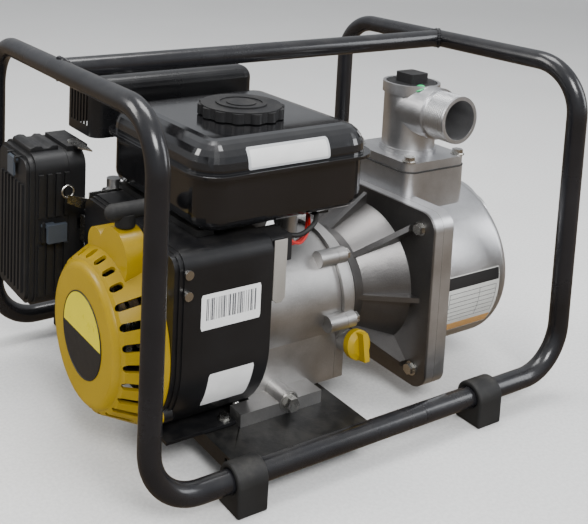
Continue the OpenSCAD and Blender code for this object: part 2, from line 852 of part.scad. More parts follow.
module air_cleaner_base() {
    color(dark) difference() {
        union() {
            along_x(-200, -182) cleaner_outline(0);
            rod_x(15, -183, port_x - 52, carb_y, carb_z);
            box([-198, ac_y0 + 10, ac_z1 - 2], [-176, ac_y0 + 66, ac_z1 + 4]);
            box([-188, ac_y0 + 8, ac_z0 - 30], [-178, ac_y0 + 34, ac_z0 + 20]);
        }
        along_x(-201, -185) cleaner_outline(2.4);
        rod_x(9, -190, port_x - 50, carb_y, carb_z);
        rod_z(2.56, ac_z1 - 3, ac_z1 + 6, -186, ac_y0 + 22);
    }
}

module air_cleaner_cover() {
    color(dark) difference() {
        union() {
            along_x(ac_x0 + 8, -200.3) cleaner_outline(0);
            along_x(ac_x0 + 3, ac_x0 + 9) cleaner_outline(2.5);
            along_x(ac_x0, ac_x0 + 4) cleaner_outline(6);
            for (i = [0:6]) box([ac_x0 - 2, ac_y0 + 13 + i * 9, ac_z0 + 14],
                                [ac_x0 + 3, ac_y0 + 17 + i * 9, ac_z1 - 30]);
            for (i = [0:3], z = [[ac_z0 + 14, side_clip_z - 14], [side_clip_z + 14, ac_z1 - 18]])
                box([ac_x0 + 10 + i * 9, ac_y0 - 3, z[0]], [ac_x0 + 15 + i * 9, ac_y0 + 3, z[1]]);
            box([ac_x0 + 13, ac_y0 - 5, side_clip_z - 10],
                [ac_x0 + 16, ac_y0 + 2, side_clip_z + 10]);
            for (y = [face_clip_y - 12, face_clip_y + 8.5])
                box([ac_x0 - 4, y, face_clip_z - 3], [ac_x0 + 4, y + 3.5, face_clip_z + 3]);
        }
        along_x(ac_x0 + 11, -199) cleaner_outline(2.4);
        along_x(ac_x0 + 5, ac_x0 + 12) cleaner_outline(8);
        rod_x(1.6, ac_x0 + 10, ac_x0 + 20, ac_y0 - 3, side_clip_z + 7);
        rod_y(1.6, face_clip_y - 14, face_clip_y + 14, ac_x0 - 2, face_clip_z);
    }
}

module filter_element() {
    color([0.25, 0.22, 0.12]) difference() {
        along_x(ac_x0 + 11.5, -203) cleaner_outline(7);
        along_x(-224, -200) cleaner_outline(22);
    }
}

// plastic latches of the filter cover, each turning on its pin
module cover_clip_upper() {
    color(dark) {
        rod_y(1.55, face_clip_y - 11, face_clip_y + 11, ac_x0 - 2, face_clip_z);
        box([ac_x0 - 4.5, face_clip_y - 8, face_clip_z - 17],
            [ac_x0 - 2.2, face_clip_y + 8, face_clip_z + 1]);
    }
}

module cover_clip_lower() {
    x = ac_x0 + 16;
    y = ac_y0 - 3;
    color(dark) {
        rod_x(1.55, x - 3.6, x + 9, y, side_clip_z + 7);
        box([x + 0.2, y - 9, side_clip_z - 9], [x + 20, y - 4.2, side_clip_z + 9]);
        box([x + 0.2, y - 5, side_clip_z + 4.8], [x + 9, y + 0.5, side_clip_z + 9]);
    }
}

module carburettor() {
    color(silver) difference() {
        union() {
            along_x(port_x - 5, port_x - 0.3) translate([carb_y, carb_z]) round_rect(46, 34, 8);
            rod_x(14, port_x - 51.7, port_x - 4, carb_y, carb_z);
            box([port_x - 46, carb_y - 14, carb_z - 14], [port_x - 10, carb_y + 14, carb_z + 12]);
            along_x(port_x - 51.7, port_x - 47) translate([carb_y, carb_z]) round_rect(40, 32, 8);
            for (x = [port_x - 38, port_x - 14]) rod_z(4, carb_z + 10, carb_z + 17, x, carb_y);
            rod_z(11, carb_z - 17, carb_z - 12, port_x - 28, carb_y);
        }
        rod_x(9, port_x - 60, port_x - 30, carb_y, carb_z);
        rod_x(7.5, port_x - 31, port_x + 1, carb_y, carb_z);
        for (x = [port_x - 38, port_x - 14]) rod_z(2.06, carb_z, carb_z + 20, x, carb_y);
    }
    float_bowl();
}

// float bowl with its drain screw and the fuel inlet
module float_bowl() {
    z = carb_z - 17.3;
    x = port_x - 28;
    color(steel) {
        rod_z(17, z - 18, z, x, carb_y);
        rod_z(19, z - 3, z, x, carb_y);
        rod_z(12, z - 23, z - 17, x, carb_y);
        translate([x, carb_y, z - 28]) cylinder(r = 5.5, h = 6, $fn = 6);
        rod_x(2.1, x - 33, x - 12, line_y + 25, 142);
    }
}

module choke_lever() {
    x = -186;
    y = ac_y0 + 22;
    z = ac_z1 + 4.2;
    color(steel) {
        rod_z(2.5, z - 6, z + 1, x, y);
        rod_z(6, z, z + 1.6, x, y);
        translate([x, y, z]) linear_extrude(1.6)
            polygon([[-5, -4], [-6, -24], [2, -40], [4, -22], [5, 4], [-5, 4]]);
    }
}

// lever on the throttle shaft with its butterfly plate
module throttle_lever() {
    x = port_x - 14;
    z = carb_z + 17.3;
    color(steel) {
        rod_z(2, carb_z - 6, z + 3, x, carb_y);
        translate([x, carb_y, z]) linear_extrude(1.6)
            polygon([[-5, -4], [-3, -30], [3, -30], [5, -4], [5, 5], [-5, 5]]);
        rod_z(2, z, z + 4, x, carb_y - 27);
    }
}

module governor_arm() {
    color(steel) {
        rod_z(3, 152, 203, gov_x, gov_y);
        rod_z(7, 196, 204, gov_x, gov_y);
        translate([gov_x, gov_y, 199]) linear_extrude(2.4)
            polygon([[-5, 0], [-3.5, 64], [3.5, 64], [5, 0]]);
    }
}

module control_panel() {
    color(steel) difference() {
        union() {
            box([shroud_x0 + 6, shroud_y1 + 0.2, 150], [shroud_x0 + 50, shroud_y1 + 2.2, 204]);
            box([shroud_x0 + 6, shroud_y1 + 0.2, 150], [shroud_x0 + 8, shroud_y1 + 20, 176]);
        }
        rod_y(4.06, shroud_y1 - 2, shroud_y1 + 4, shroud_x0 + 18, 186);
    }
}

// speed control lever with its wing nut and friction washer
module speed_lever() {
    x = shroud_x0 + 18;
    y = shroud_y1 + 2.4;
    color(steel) {
        rod_y(4, y - 2.2, y + 9, x, 186);
        rod_y(7, y, y + 2.4, x, 186);
        translate([x, y + 2.4, 186]) rotate([90, 0, 0]) linear_extrude(2.4)
            polygon([[-6, -4], [-34, 10], [-34, 18], [3, 6]]);
        box([x - 9, y + 5, 184], [x + 9, y + 7.5, 190]);
    }
}

// ---------------------------------------------------------------- ignition

module ignition_coil() {
    color(dark) {
        box([-176, crank_y + 72, crank_z - 26], [-146, crank_y + 79, crank_z + 8]);
        rod_x(7, -172, -150, crank_y + 76, crank_z + 12);
    }
}

module spark_plug() {
    color([0.92, 0.92, 0.9]) on_bore() translate([0, 38.5, deck + 14.3]) rotate([-90, 0, 0]) {
        translate([0, 0, -16]) cylinder(r = 6, h = 17);
        cylinder(r = 10, h = 8, $fn = 6);
        translate([0, 0, 8]) cylinder(r1 = 6.5, r2 = 4.5, h = 22);
        translate([0, 0, 30]) cylinder(r = 2.5, h = 4);
    }
}

module spark_plug_cap() {
    color(rubber) on_bore() translate([0, 38.5, deck + 14.3]) rotate([-90, 0, 0]) difference() {
        union() {
            translate([0, 0, 10]) cylinder(r = 9, h = 27);
            translate([0, 0, 30]) rotate([0, -90, 0]) cylinder(r = 5, h = 26);
        }
        translate([0, 0, 7.9]) cylinder(r1 = 6.6, r2 = 4.6, h = 22.2);
        translate([0, 0, 29]) cylinder(r = 2.6, h = 5.2);
    }
}

module engine_switch() {
    color(dark) difference() {
        union() {
            box([shroud_x1 + 0.3, -126, 180], [shroud_x1 + 24, -100, 204]);
            box([shroud_x1 + 2, -130, 148], [shroud_x1 + 14, -126, 202]);
        }
        box([shroud_x1 + 16, -118, 185], [shroud_x1 + 26, -108, 199]);
    }
}

module switch_rocker() {
    color(black) translate([shroud_x1 + 22, -113, 192]) rotate([90, 0, 0]) {
        translate([0, 0, -4.9]) cylinder(r = 2, h = 9.8);
        translate([0, 0, -3.8]) linear_extrude(7.6)
            polygon([[-2, -4], [-2, 4], [4.5, 6], [3, 0], [3.5, -6]]);
    }
}

// ---------------------------------------------------------------- pump

module flange_outline(grow) {
    translate([crank_y, crank_z]) round_rect(flange_w + 2 * grow, flange_h + 2 * grow, 16);
}

// four corner positions of the joint between the bracket and the casing
module at_corners() {
    for (sy = [-1, 1], sz = [-1, 1])
        translate([0, crank_y + sy * (flange_w / 2 - 17), crank_z + sz * (flange_h / 2 - 17)])
            children();
}

// cast adaptor between the engine's end face and the pump, stiffened by ribs
module pump_bracket() {
    x0 = face_x + 0.3;
    color(silver) difference() {
        union() {
            rod_x(52, x0, x0 + 10);
            cone_x(48, 72, x0 + 4, flange_x0 + 1);
            along_x(flange_x0, flange_x1) flange_outline(0);
            for (a = [0:45:315])
                translate([0, crank_y, crank_z]) rotate([a, 0, 0])
                    translate([0, -2.5, 0]) rotate([90, 0, 0]) mirror([0, 0, 1])
                        linear_extrude(5) polygon([[x0 + 6, 30], [x0 + 6, 51],
                            [flange_x0 + 2, a % 90 == 0 ? 84 : 108], [flange_x0 + 2, 30]]);
        }
        difference() {
            cone_x(43, 66, x0 - 2, flange_x0 + 5);
            for (a = [0:90:270])
                translate([0, crank_y + 40 * cos(a + 45), crank_z + 40 * sin(a + 45)])
                    rod_x(8, x0 - 3, x0 + 6, 0, 0);
        }
        rod_x(17, flange_x0 - 3, flange_x1 - 3);
        rod_x(shaft_r + 1, flange_x0 - 3, flange_x1 + 1);
        for (a = [45:90:315])
            translate([0, crank_y + 40 * cos(a), crank_z + 40 * sin(a)])
                rod_x(3.1, x0 - 1, x0 + 8, 0, 0);
        at_corners() {
            rod_x(3.4, flange_x0 - 1, flange_x1 + 1, 0, 0);
            rod_x(9, flange_x0 - 40, flange_x0, 0, 0);
        }
    }
    color(steel) for (a = [45:90:315])
        translate([0, crank_y + 40 * cos(a), crank_z + 40 * sin(a)]) {
            rod_x(2.4, face_x - 10, x0 + 7, 0, 0);
            translate([x0 + 6.1, 0, 0]) rotate([0, 90, 0]) hex_head(5, 5);
        }
}

// corner bolts of the casing and bolts of the two port flanges
module pump_bolts() {
    color(steel) {
        at_corners() {
            rod_x(3, flange_x0 - 1, casing_x0 + 12, 0, 0);
            translate([flange_x0 - 0.1, 0, 0]) rotate([0, -90, 0]) hex_head(5.5, 5.5);
        }
        neck_bolts() {
            rod_z(3, neck_top - 12, neck_top + gasket_t + 10, 0, 0);
            translate([0, 0, neck_top + gasket_t + 9.1]) hex_head(5.5, 5.5);
        }
        suction_bolts() {
            rod_x(2.5, casing_x1 - 5, suction_x + 9, 0, 0);
            translate([suction_x + 8.1, 0, 0]) rotate([0, 90, 0]) hex_head(4.5, 5);
        }
    }
}

suction_x = casing_x1 + 2.3;

module suction_bolts() {
    for (a = [90, 210, 330])
        translate([0, crank_y + 34 * cos(a), suction_z + 34 * sin(a)]) children();
}

module shaft_seal() {
    color(dark) difference() {
        rod_x(16.9, flange_x0 + 1, flange_x1 - 3.1);
        rod_x(shaft_r + 0.08, flange_x0, flange_x1);
    }
}

// open impeller: back plate with curved blades and a threaded hub
module impeller() {
    r = impeller_d / 2;
    color(silver) {
        difference() {
            union() {
                rod_x(r, 102.2, 105.2);
                rod_x(10, 102.2, 121);
                for (i = [0:5]) translate([102.2, crank_y, crank_z]) rotate([i * 60, 0, 0])
                    translate([0, 9, 0]) rotate([25, 0, 0]) cube([13, r - 14, 3]);
            }
            rod_x(5.02, 102, 122.2);
        }
        difference() {
            translate([121.2, crank_y, crank_z]) rotate([0, 90, 0]) cylinder(r = 7, h = 5, $fn = 6);
            rod_x(5.02, 120, 130);
        }
    }
}

// inner volute around the impeller, with its eye and its outlet at the top
module volute() {
    color(dark) difference() {
        union() {
            rod_x(66, 97.8, 130);
            box([97.8, crank_y - 66, crank_z], [130, crank_y - 36, crank_z + 40]);
        }
        rod_x(58, 97, 126);
        rod_x(17, 120, 132);
        box([100, crank_y - 61, crank_z], [124, crank_y - 44, crank_z + 70]);
    }
}

module pump_casing() {
    wall = 6;
    r = casing_r;
    round_edge = 14;
    color(silver) difference() {
        union() {
            along_x(casing_x0, casing_x0 + 13) flange_outline(0);
            rod_x(r, casing_x0, casing_x1 - round_edge);
            translate([casing_x1 - round_edge, crank_y, crank_z]) rotate([0, 90, 0])
                rotate_extrude() {
                    square([r - round_edge, round_edge]);
                    intersection() {
                        translate([r - round_edge, 0]) circle(round_edge);
                        square([r, round_edge]);
                    }
                }
            translate([neck_x, crank_y, crank_z + 20]) linear_extrude(neck_top - crank_z - 20)
                round_rect(neck_l, neck_w, 10);
            rod_x(43, casing_x1 - 8, casing_x1 + 2, crank_y, suction_z);
            rod_x(11, casing_x1 - 10, casing_x1 + 3, crank_y, crank_z - 52);
            for (s = [-1, 1]) box([197, crank_y + s * 20 - 3, suction_z + 24],
                                  [casing_x1 - 4, crank_y + s * 20 + 3, suction_z + 34]);
        }
        rod_x(r - wall, casing_x0 - 1, casing_x1 - round_edge);
        rod_x(r - round_edge, casing_x0, casing_x1 - wall);
        rod_z(33, crank_z + 20, neck_top + 1, neck_x, crank_y);
        rod_x(port_bore_r, casing_x1 - 20, casing_x1 + 10, crank_y, suction_z);
        at_corners() rod_x(3.05, casing_x0 - 1, casing_x0 + 14, 0, 0);
        rod_x(5.05, casing_x1 - 12, casing_x1 + 4, crank_y, crank_z - 52);
        rod_y(2.56, crank_y - 30, crank_y + 30, 200, suction_z + 29);
        neck_bolts() rod_z(3.05, neck_top - 14, neck_top + 1, 0, 0);
        suction_bolts() rod_x(2.55, casing_x1 - 7, casing_x1 + 3, 0, 0);
    }
}

module neck_bolts() {
    for (sx = [-1, 1], sy = [-1, 1])
        translate([neck_x + sx * (neck_l / 2 - 7), crank_y + sy * (neck_w / 2 - 7), 0]) children();
}

module pump_drain_plug() {
    color(steel) translate([casing_x1 + 3.1, crank_y, crank_z - 52]) rotate([0, 90, 0]) {
        translate([0, 0, -12]) cylinder(r = 5, h = 13);
        hex_head(8, 8);
    }
}

module discharge_elbow() {
    tail_y = -112;
    z0 = neck_top + gasket_t;
    color(silver) difference() {
        union() {
            translate([neck_x, crank_y, z0]) linear_extrude(9) round_rect(neck_l, neck_w, 12);
            rod_z(29, z0 + 5, z0 + 14, neck_x, crank_y);
            rod_z(27, z0 + 5, 300, neck_x, crank_y);
            rod_z(29, 294, 305, neck_x, crank_y);
            rod_y(26.5, -85, crank_y, neck_x, out_z);
            rod_y(port_r, tail_y, -80, neck_x, out_z);
        }
        rod_z(port_bore_r - 1, neck_top - 1, out_z + 8, neck_x, crank_y);
        rod_y(port_bore_r, tail_y - 1, crank_y + 8, neck_x, out_z);
        rod_z(16.05, out_z, 306, neck_x, crank_y);
        rod_z(26, 302, 306, neck_x, crank_y);
        neck_bolts() rod_z(3.4, neck_top - 1, neck_top + 14, 0, 0);
    }
}

// threaded plug with a square head, sunk in the elbow's top rim
module priming_plug() {
    color(black) translate([neck_x, crank_y, 0]) {
        rod_z(16, 298, 304, 0, 0);
        rod_z(25, 302.2, 304.5, 0, 0);
        translate([0, 0, 304]) linear_extrude(10.5) round_rect(24, 24, 3);
    }
}

module suction_port() {
    color(silver) difference() {
        union() {
            rod_x(42, suction_x, suction_x + 8, crank_y, suction_z);
            rod_x(28, suction_x + 7, suction_x + 13, crank_y, suction_z);
            rod_x(port_r, suction_x + 12, 246, crank_y, suction_z);
        }
        rod_x(port_bore_r, suction_x - 1, 247, crank_y, suction_z);
        suction_bolts() rod_x(2.8, suction_x - 1, suction_x + 9, 0, 0);
    }
}

// rubber flap that closes the suction hole from the inside, hung from a pin
module check_flap() {
    face = casing_x1 - 6.2;
    hinge_z = suction_z + 29;
    color(rubber) {
        rod_x(26, face - 4, face, crank_y, suction_z);
        box([face - 4, crank_y - 12, suction_z + 10], [face, crank_y + 12, hinge_z]);
        rod_y(4, crank_y - 12, crank_y + 12, 200, hinge_z);
        rod_y(2.5, crank_y - 22, crank_y + 22, 200, hinge_z);
    }
}

frame_hoop_left();
frame_hoop_right();
carry_bar();
base_plate();
rubber_feet();
mount_bolts();
crankcase();
crankcase_cover();
engine_bolts();
cylinder_head();
rocker_cover();
main_bearings();
crankshaft();
camshaft();
connecting_rod();
piston();
flywheel();
starter_cup();
oil_filler_cap();
oil_drain_plug();
blower_shroud();
shroud_screws();
recoil_cover();
recoil_reel();
pull_handle();
fuel_tank();
fuel_cap();
tank_straps();
fuel_valve();
fuel_valve_lever();
fuel_hose();
muffler();
muffler_guard();
air_cleaner_base();
air_cleaner_cover();
filter_element();
cover_clip_upper();
cover_clip_lower();
carburettor();
choke_lever();
throttle_lever();
governor_arm();
control_panel();
speed_lever();
ignition_coil();
spark_plug();
spark_plug_cap();
engine_switch();
switch_rocker();
pump_bracket();
pump_bolts();
shaft_seal();
impeller();
volute();
pump_casing();
pump_drain_plug();
discharge_elbow();
priming_plug();
suction_port();
check_flap();
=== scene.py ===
import json
import math
import random

import bmesh
import bpy
from mathutils import Matrix, Vector


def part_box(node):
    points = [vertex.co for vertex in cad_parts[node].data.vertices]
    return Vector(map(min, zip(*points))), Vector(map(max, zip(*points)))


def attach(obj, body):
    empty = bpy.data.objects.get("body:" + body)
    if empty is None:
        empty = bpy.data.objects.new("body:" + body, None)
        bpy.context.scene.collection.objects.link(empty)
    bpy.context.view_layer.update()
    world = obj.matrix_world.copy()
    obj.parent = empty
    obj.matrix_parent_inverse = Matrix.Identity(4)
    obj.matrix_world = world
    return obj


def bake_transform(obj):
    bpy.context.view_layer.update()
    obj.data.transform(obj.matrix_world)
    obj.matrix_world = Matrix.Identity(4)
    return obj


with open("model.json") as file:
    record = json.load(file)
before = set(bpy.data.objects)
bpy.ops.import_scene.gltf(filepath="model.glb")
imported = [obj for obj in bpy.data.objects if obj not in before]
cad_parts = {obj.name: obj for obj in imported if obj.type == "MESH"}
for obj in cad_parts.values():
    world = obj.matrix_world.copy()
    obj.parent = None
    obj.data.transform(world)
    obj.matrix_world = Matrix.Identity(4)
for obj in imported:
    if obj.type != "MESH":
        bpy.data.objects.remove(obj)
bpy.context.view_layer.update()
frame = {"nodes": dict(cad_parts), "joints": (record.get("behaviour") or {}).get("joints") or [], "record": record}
NODES = frame["nodes"]
MM = 0.001
random.seed(7)

# ------------------------------------------------------------------ places read from the frame


def joint_place(name):
    """Place of the record's joint of that name."""
    return Vector(next(j for j in frame["joints"] if j["name"] == name)["pos_m"])


def mount_place(name):
    """Place of the record's mount of that name."""
    return Vector(next(m for m in frame["record"]["mounts"] if m["name"] == name)["pos_m"])


CRANK = joint_place("crank_spin")
OUTLET = mount_place("discharge_port")
INLET = mount_place("suction_port")
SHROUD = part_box("blower_shroud")
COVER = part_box("recoil_cover")
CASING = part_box("pump_casing")
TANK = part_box("fuel_tank")
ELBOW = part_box("discharge_elbow")
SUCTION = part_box("suction_port")
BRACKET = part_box("pump_bracket")
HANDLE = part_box("pull_handle")
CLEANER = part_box("air_cleaner_cover")
CLEANER_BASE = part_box("air_cleaner_base")
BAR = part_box("carry_bar")
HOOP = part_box("frame_hoop_left")
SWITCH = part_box("engine_switch")
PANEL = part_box("control_panel")
PLUG_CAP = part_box("spark_plug_cap")
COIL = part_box("ignition_coil")
TUBE_R = (BAR[1].z - BAR[0].z) / 2

# round walls that labels are stuck on, and the flange between casing and bracket
CASING_R = 85 * MM
SHROUD_R = 87 * MM
NEAR_WALL = CRANK.y - SHROUD_R
FLANGE_W = 190 * MM
FLANGE_H = 176 * MM
FLANGE_CORNER = 16 * MM

# thread turns on both ports: a G 1 1/2 pipe thread has a pitch of 2.31 mm
THREAD_PITCH = 2.31 * MM
THREAD_R = 23.75 * MM
THREAD_WIRE = 0.6 * MM

# ------------------------------------------------------------------ materials


class Nodes:
    """Small builder around a material's node tree."""

    def __init__(self, name):
        self.mat = bpy.data.materials.new(name)
        self.mat.use_nodes = True
        self.tree = self.mat.node_tree
        self.bsdf = self.tree.nodes["Principled BSDF"]
        self.coord = self.add("ShaderNodeTexCoord").outputs["Object"]

    def add(self, kind, **inputs):
        node = self.tree.nodes.new(kind)
        for key, value in inputs.items():
            node.inputs[key.replace("_", " ")].default_value = value
        return node

    def link(self, out, into):
        self.tree.links.new(out, into)

    def noise(self, scale, detail=4.0, rough=0.55, stretch=None):
        """Noise over the row frame; scale is in waves per metre."""
        node = self.add("ShaderNodeTexNoise", Scale=scale, Detail=detail, Roughness=rough)
        if stretch:
            spread = self.add("ShaderNodeMapping")
            spread.inputs["Scale"].default_value = stretch
            self.link(self.coord, spread.inputs["Vector"])
            self.link(spread.outputs["Vector"], node.inputs["Vector"])
        else:
            self.link(self.coord, node.inputs["Vector"])
        return node.outputs["Fac"]

    def cells(self, scale):
        """Rounded cells over the row frame."""
        node = self.add("ShaderNodeTexVoronoi", Scale=scale)
        self.link(self.coord, node.inputs["Vector"])
        return node.outputs["Distance"]

    def ramp(self, fac, stops):
        """Colour ramp through (position, grey or rgb) stops."""
        node = self.add("ShaderNodeValToRGB")
        bar = node.color_ramp.elements
        while len(bar) < len(stops):
            bar.new(0.5)
        for element, (pos, value) in zip(bar, stops):
            element.position = pos
            rgb = (value,) * 3 if isinstance(value, (int, float)) else value
            element.color = (*rgb, 1)
        self.link(fac, node.inputs["Fac"])
        return node.outputs["Color"]

    def mix(self, fac, a, b, blend="MIX"):
        node = self.add("ShaderNodeMix")
        node.data_type = "RGBA"
        node.blend_type = blend
        for value, socket in ((fac, node.inputs[0]), (a, node.inputs[6]), (b, node.inputs[7])):
            if isinstance(value, bpy.types.NodeSocket):
                self.link(value, socket)
            else:
                socket.default_value = value if isinstance(value, float) else (*value, 1)
        return node.outputs[2]

    def bump(self, height, strength, distance, normal=None):
        node = self.add("ShaderNodeBump", Strength=strength, Distance=distance)
        self.link(height, node.inputs["Height"])
        if normal is not None:
            self.link(normal, node.inputs["Normal"])
        return node.outputs["Normal"]


def scaled(rgb, k):
    """Colour made darker or lighter by a factor."""
    return tuple(min(1.0, c * k) for c in rgb)


def surface(name, rgb, rough, metal=0.0, grain=900.0, grain_depth=0.05, patch=14.0, spread=0.2,
            dust=0.0, coat=0.0, wear=None, relief=0.0, relief_scale=120.0, sheen=0.0, shine=0.5):
    """A worn real-world surface: patchy colour, patchy roughness, fine grain and slow relief.

    grain is the fine bump in waves per metre and grain_depth its depth in mm; wear is an
    optional colour that shows through in small rubbed spots; dust lightens upward faces."""
    n = Nodes(name)
    patches = n.noise(patch, 5.0, 0.6)
    fine = n.noise(grain, 3.0, 0.6)
    tone = n.ramp(patches, [(0.3, scaled(rgb, 1 - spread)), (0.7, scaled(rgb, 1 + spread))])
    speck = n.ramp(fine, [(0.35, 0.88), (0.65, 1.0)])
    tone = n.mix(1.0, tone, speck, "MULTIPLY")
    if wear:
        rubbed = n.noise(70.0, 8.0, 0.72)
        mask = n.ramp(rubbed, [(0.69, 0.0), (0.73, 1.0)])
        tone = n.mix(mask, tone, wear)
    if dust:
        geo = n.add("ShaderNodeNewGeometry")
        split = n.add("ShaderNodeSeparateXYZ")
        n.link(geo.outputs["Normal"], split.inputs["Vector"])
        settled = n.add("ShaderNodeMath")
        settled.operation = "MULTIPLY"
        n.link(split.outputs["Z"], settled.inputs[0])
        n.link(n.ramp(n.noise(45.0, 8.0, 0.7), [(0.45, 0.0), (0.75, dust)]), settled.inputs[1])
        settled.use_clamp = True
        tone = n.mix(settled.outputs[0], tone, (0.42, 0.39, 0.34))
    n.link(tone, n.bsdf.inputs["Base Color"])
    n.link(n.ramp(patches, [(0.25, rough * 0.82), (0.75, min(1.0, rough * 1.2))]),
           n.bsdf.inputs["Roughness"])
    n.bsdf.inputs["Metallic"].default_value = metal
    n.bsdf.inputs["Coat Weight"].default_value = coat
    n.bsdf.inputs["Coat Roughness"].default_value = 0.08
    n.bsdf.inputs["Sheen Weight"].default_value = sheen
    n.bsdf.inputs["Specular IOR Level"].default_value = shine
    normal = n.bump(fine, 1.0, grain_depth * MM)
    if relief:
        normal = n.bump(n.noise(relief_scale, 2.0), 1.0, relief * MM, normal)
    n.link(normal, n.bsdf.inputs["Normal"])
    return n.mat


def turned_metal(name, rgb, rough, pitch, axis):
    """Metal turned on a lathe: fine rings across an axis and slight tarnish."""
    n = Nodes(name)
    wave = n.add("ShaderNodeTexWave", Scale=1.0 / pitch / 6.28, Distortion=0.6)
    wave.bands_direction = axis
    n.link(n.coord, wave.inputs["Vector"])
    patches = n.noise(30.0)
    tone = n.ramp(patches, [(0.3, scaled(rgb, 0.8)), (0.7, scaled(rgb, 1.12))])
    n.link(tone, n.bsdf.inputs["Base Color"])
    n.link(n.ramp(patches, [(0.3, rough * 0.8), (0.7, rough * 1.3)]), n.bsdf.inputs["Roughness"])
    n.bsdf.inputs["Metallic"].default_value = 1.0
    n.link(n.bump(wave.outputs["Fac"], 0.6, 0.02 * MM), n.bsdf.inputs["Normal"])
    return n.mat


def cast_metal(name, rgb, rough, metal=0.85, depth=0.09, grime=0.25, painted_shade_x=None):
    """Sand- or die-cast alloy: pebbled skin, darker grime in patches, brighter rubbed spots.

    The place given along X sets painted shade: on the low side of it the part is darkened to about a third,
    standing in for the shadow on the bracket's engine side."""
    n = Nodes(name)
    skin = n.noise(1300.0, 4.0, 0.65)
    pebbles = n.cells(520.0)
    patches = n.noise(22.0, 6.0, 0.65)
    tone = n.ramp(patches, [(0.28, scaled(rgb, 0.80)), (0.55, rgb), (0.8, scaled(rgb, 1.12))])
    dirt = n.ramp(n.noise(38.0, 10.0, 0.75), [(0.58, 0.0), (0.80, grime)])
    tone = n.mix(dirt, tone, (0.10, 0.085, 0.07))
    tone = n.mix(1.0, tone, n.ramp(skin, [(0.3, 0.86), (0.7, 1.0)]), "MULTIPLY")
    # painted shade: below the given place along X the colour is multiplied down to about 0.3, in place of the
    # shadow that falls there
    if painted_shade_x:
        split = n.add("ShaderNodeSeparateXYZ")
        n.link(n.coord, split.inputs["Vector"])
        span = n.add("ShaderNodeMapRange")
        n.link(split.outputs["X"], span.inputs["Value"])
        span.inputs["From Min"].default_value = painted_shade_x - 1.2 * MM
        span.inputs["From Max"].default_value = painted_shade_x + 0.6 * MM
        tone = n.mix(span.outputs["Result"], n.mix(1.0, tone, (0.30, 0.29, 0.28), "MULTIPLY"), tone)
    n.link(tone, n.bsdf.inputs["Base Color"])
    n.link(n.ramp(patches, [(0.3, rough * 0.85), (0.75, rough * 1.15)]), n.bsdf.inputs["Roughness"])
    n.bsdf.inputs["Metallic"].default_value = metal
    normal = n.bump(skin, 1.0, depth * MM)
    normal = n.bump(pebbles, 0.6, depth * 0.7 * MM, normal)
    n.link(normal, n.bsdf.inputs["Normal"])
    return n.mat


def printed(name, rgb, rough=0.42):
    """Printed vinyl: faint mottling, slight waves where it is stuck down."""
    return surface(name, rgb, rough, grain=2400.0, grain_depth=0.012, patch=60.0, spread=0.05,
                   relief=0.05, relief_scale=90.0)


FRAME_PAINT = surface("frame_paint", (0.010, 0.010, 0.012), 0.26, grain=700.0, grain_depth=0.03,
                      spread=0.3, dust=0.05, coat=0.25, wear=(0.030, 0.030, 0.032),
                      relief=0.08, relief_scale=160.0, shine=0.45)
TANK_PAINT = surface("tank_paint", (0.006, 0.006, 0.007), 0.15, grain=420.0, grain_depth=0.015,
                     spread=0.2, dust=0.02, coat=0.6, relief=0.09, relief_scale=60.0)
PLATE_PAINT = surface("plate_paint", (0.010, 0.010, 0.010), 0.36, grain=600.0, grain_depth=0.05,
                      spread=0.3, dust=0.07, wear=(0.04, 0.037, 0.034), relief=0.15, shine=0.4)
SHROUD_PAINT = surface("shroud_paint", (0.008, 0.008, 0.009), 0.34, grain=1500.0,
                       grain_depth=0.045, spread=0.25, dust=0.04, coat=0.12, shine=0.4)
BLACK_PLASTIC = surface("black_plastic", (0.012, 0.012, 0.013), 0.46, grain=2200.0,
                        grain_depth=0.08, spread=0.2, dust=0.06, shine=0.4)
GLOSS_PLASTIC = surface("black_gloss_plastic", (0.009, 0.009, 0.010), 0.28, grain=1600.0,
                        grain_depth=0.03, spread=0.2, dust=0.03, shine=0.45)
CLIP_PLASTIC = surface("slate_plastic", (0.045, 0.055, 0.070), 0.40, grain=1900.0,
                       grain_depth=0.05, spread=0.15)
RUBBER = surface("black_rubber", (0.012, 0.012, 0.012), 0.62, grain=900.0, grain_depth=0.12,
                 spread=0.3, dust=0.10, shine=0.4)
HOSE_RUBBER = surface("hose_rubber", (0.016, 0.016, 0.017), 0.55, grain=1500.0,
                      grain_depth=0.05, spread=0.2)
YELLOW = surface("yellow_plastic", (0.35, 0.226, 0.0005), 0.36, grain=1300.0, grain_depth=0.03,
                 spread=0.08, dust=0.01, coat=0.12, relief=0.10, relief_scale=45.0, shine=0.35)
YELLOW_CAP = surface("yellow_cap", (0.36, 0.238, 0.0005), 0.40, grain=1600.0, grain_depth=0.04,
                     spread=0.08, shine=0.35)
CAST_ALLOY = cast_metal("cast_alloy", (0.50, 0.49, 0.48), 0.40, metal=0.95)
PUMP_ALLOY = cast_metal("pump_alloy", (0.62, 0.62, 0.63), 0.38, metal=0.95, depth=0.08,
                        grime=0.12)
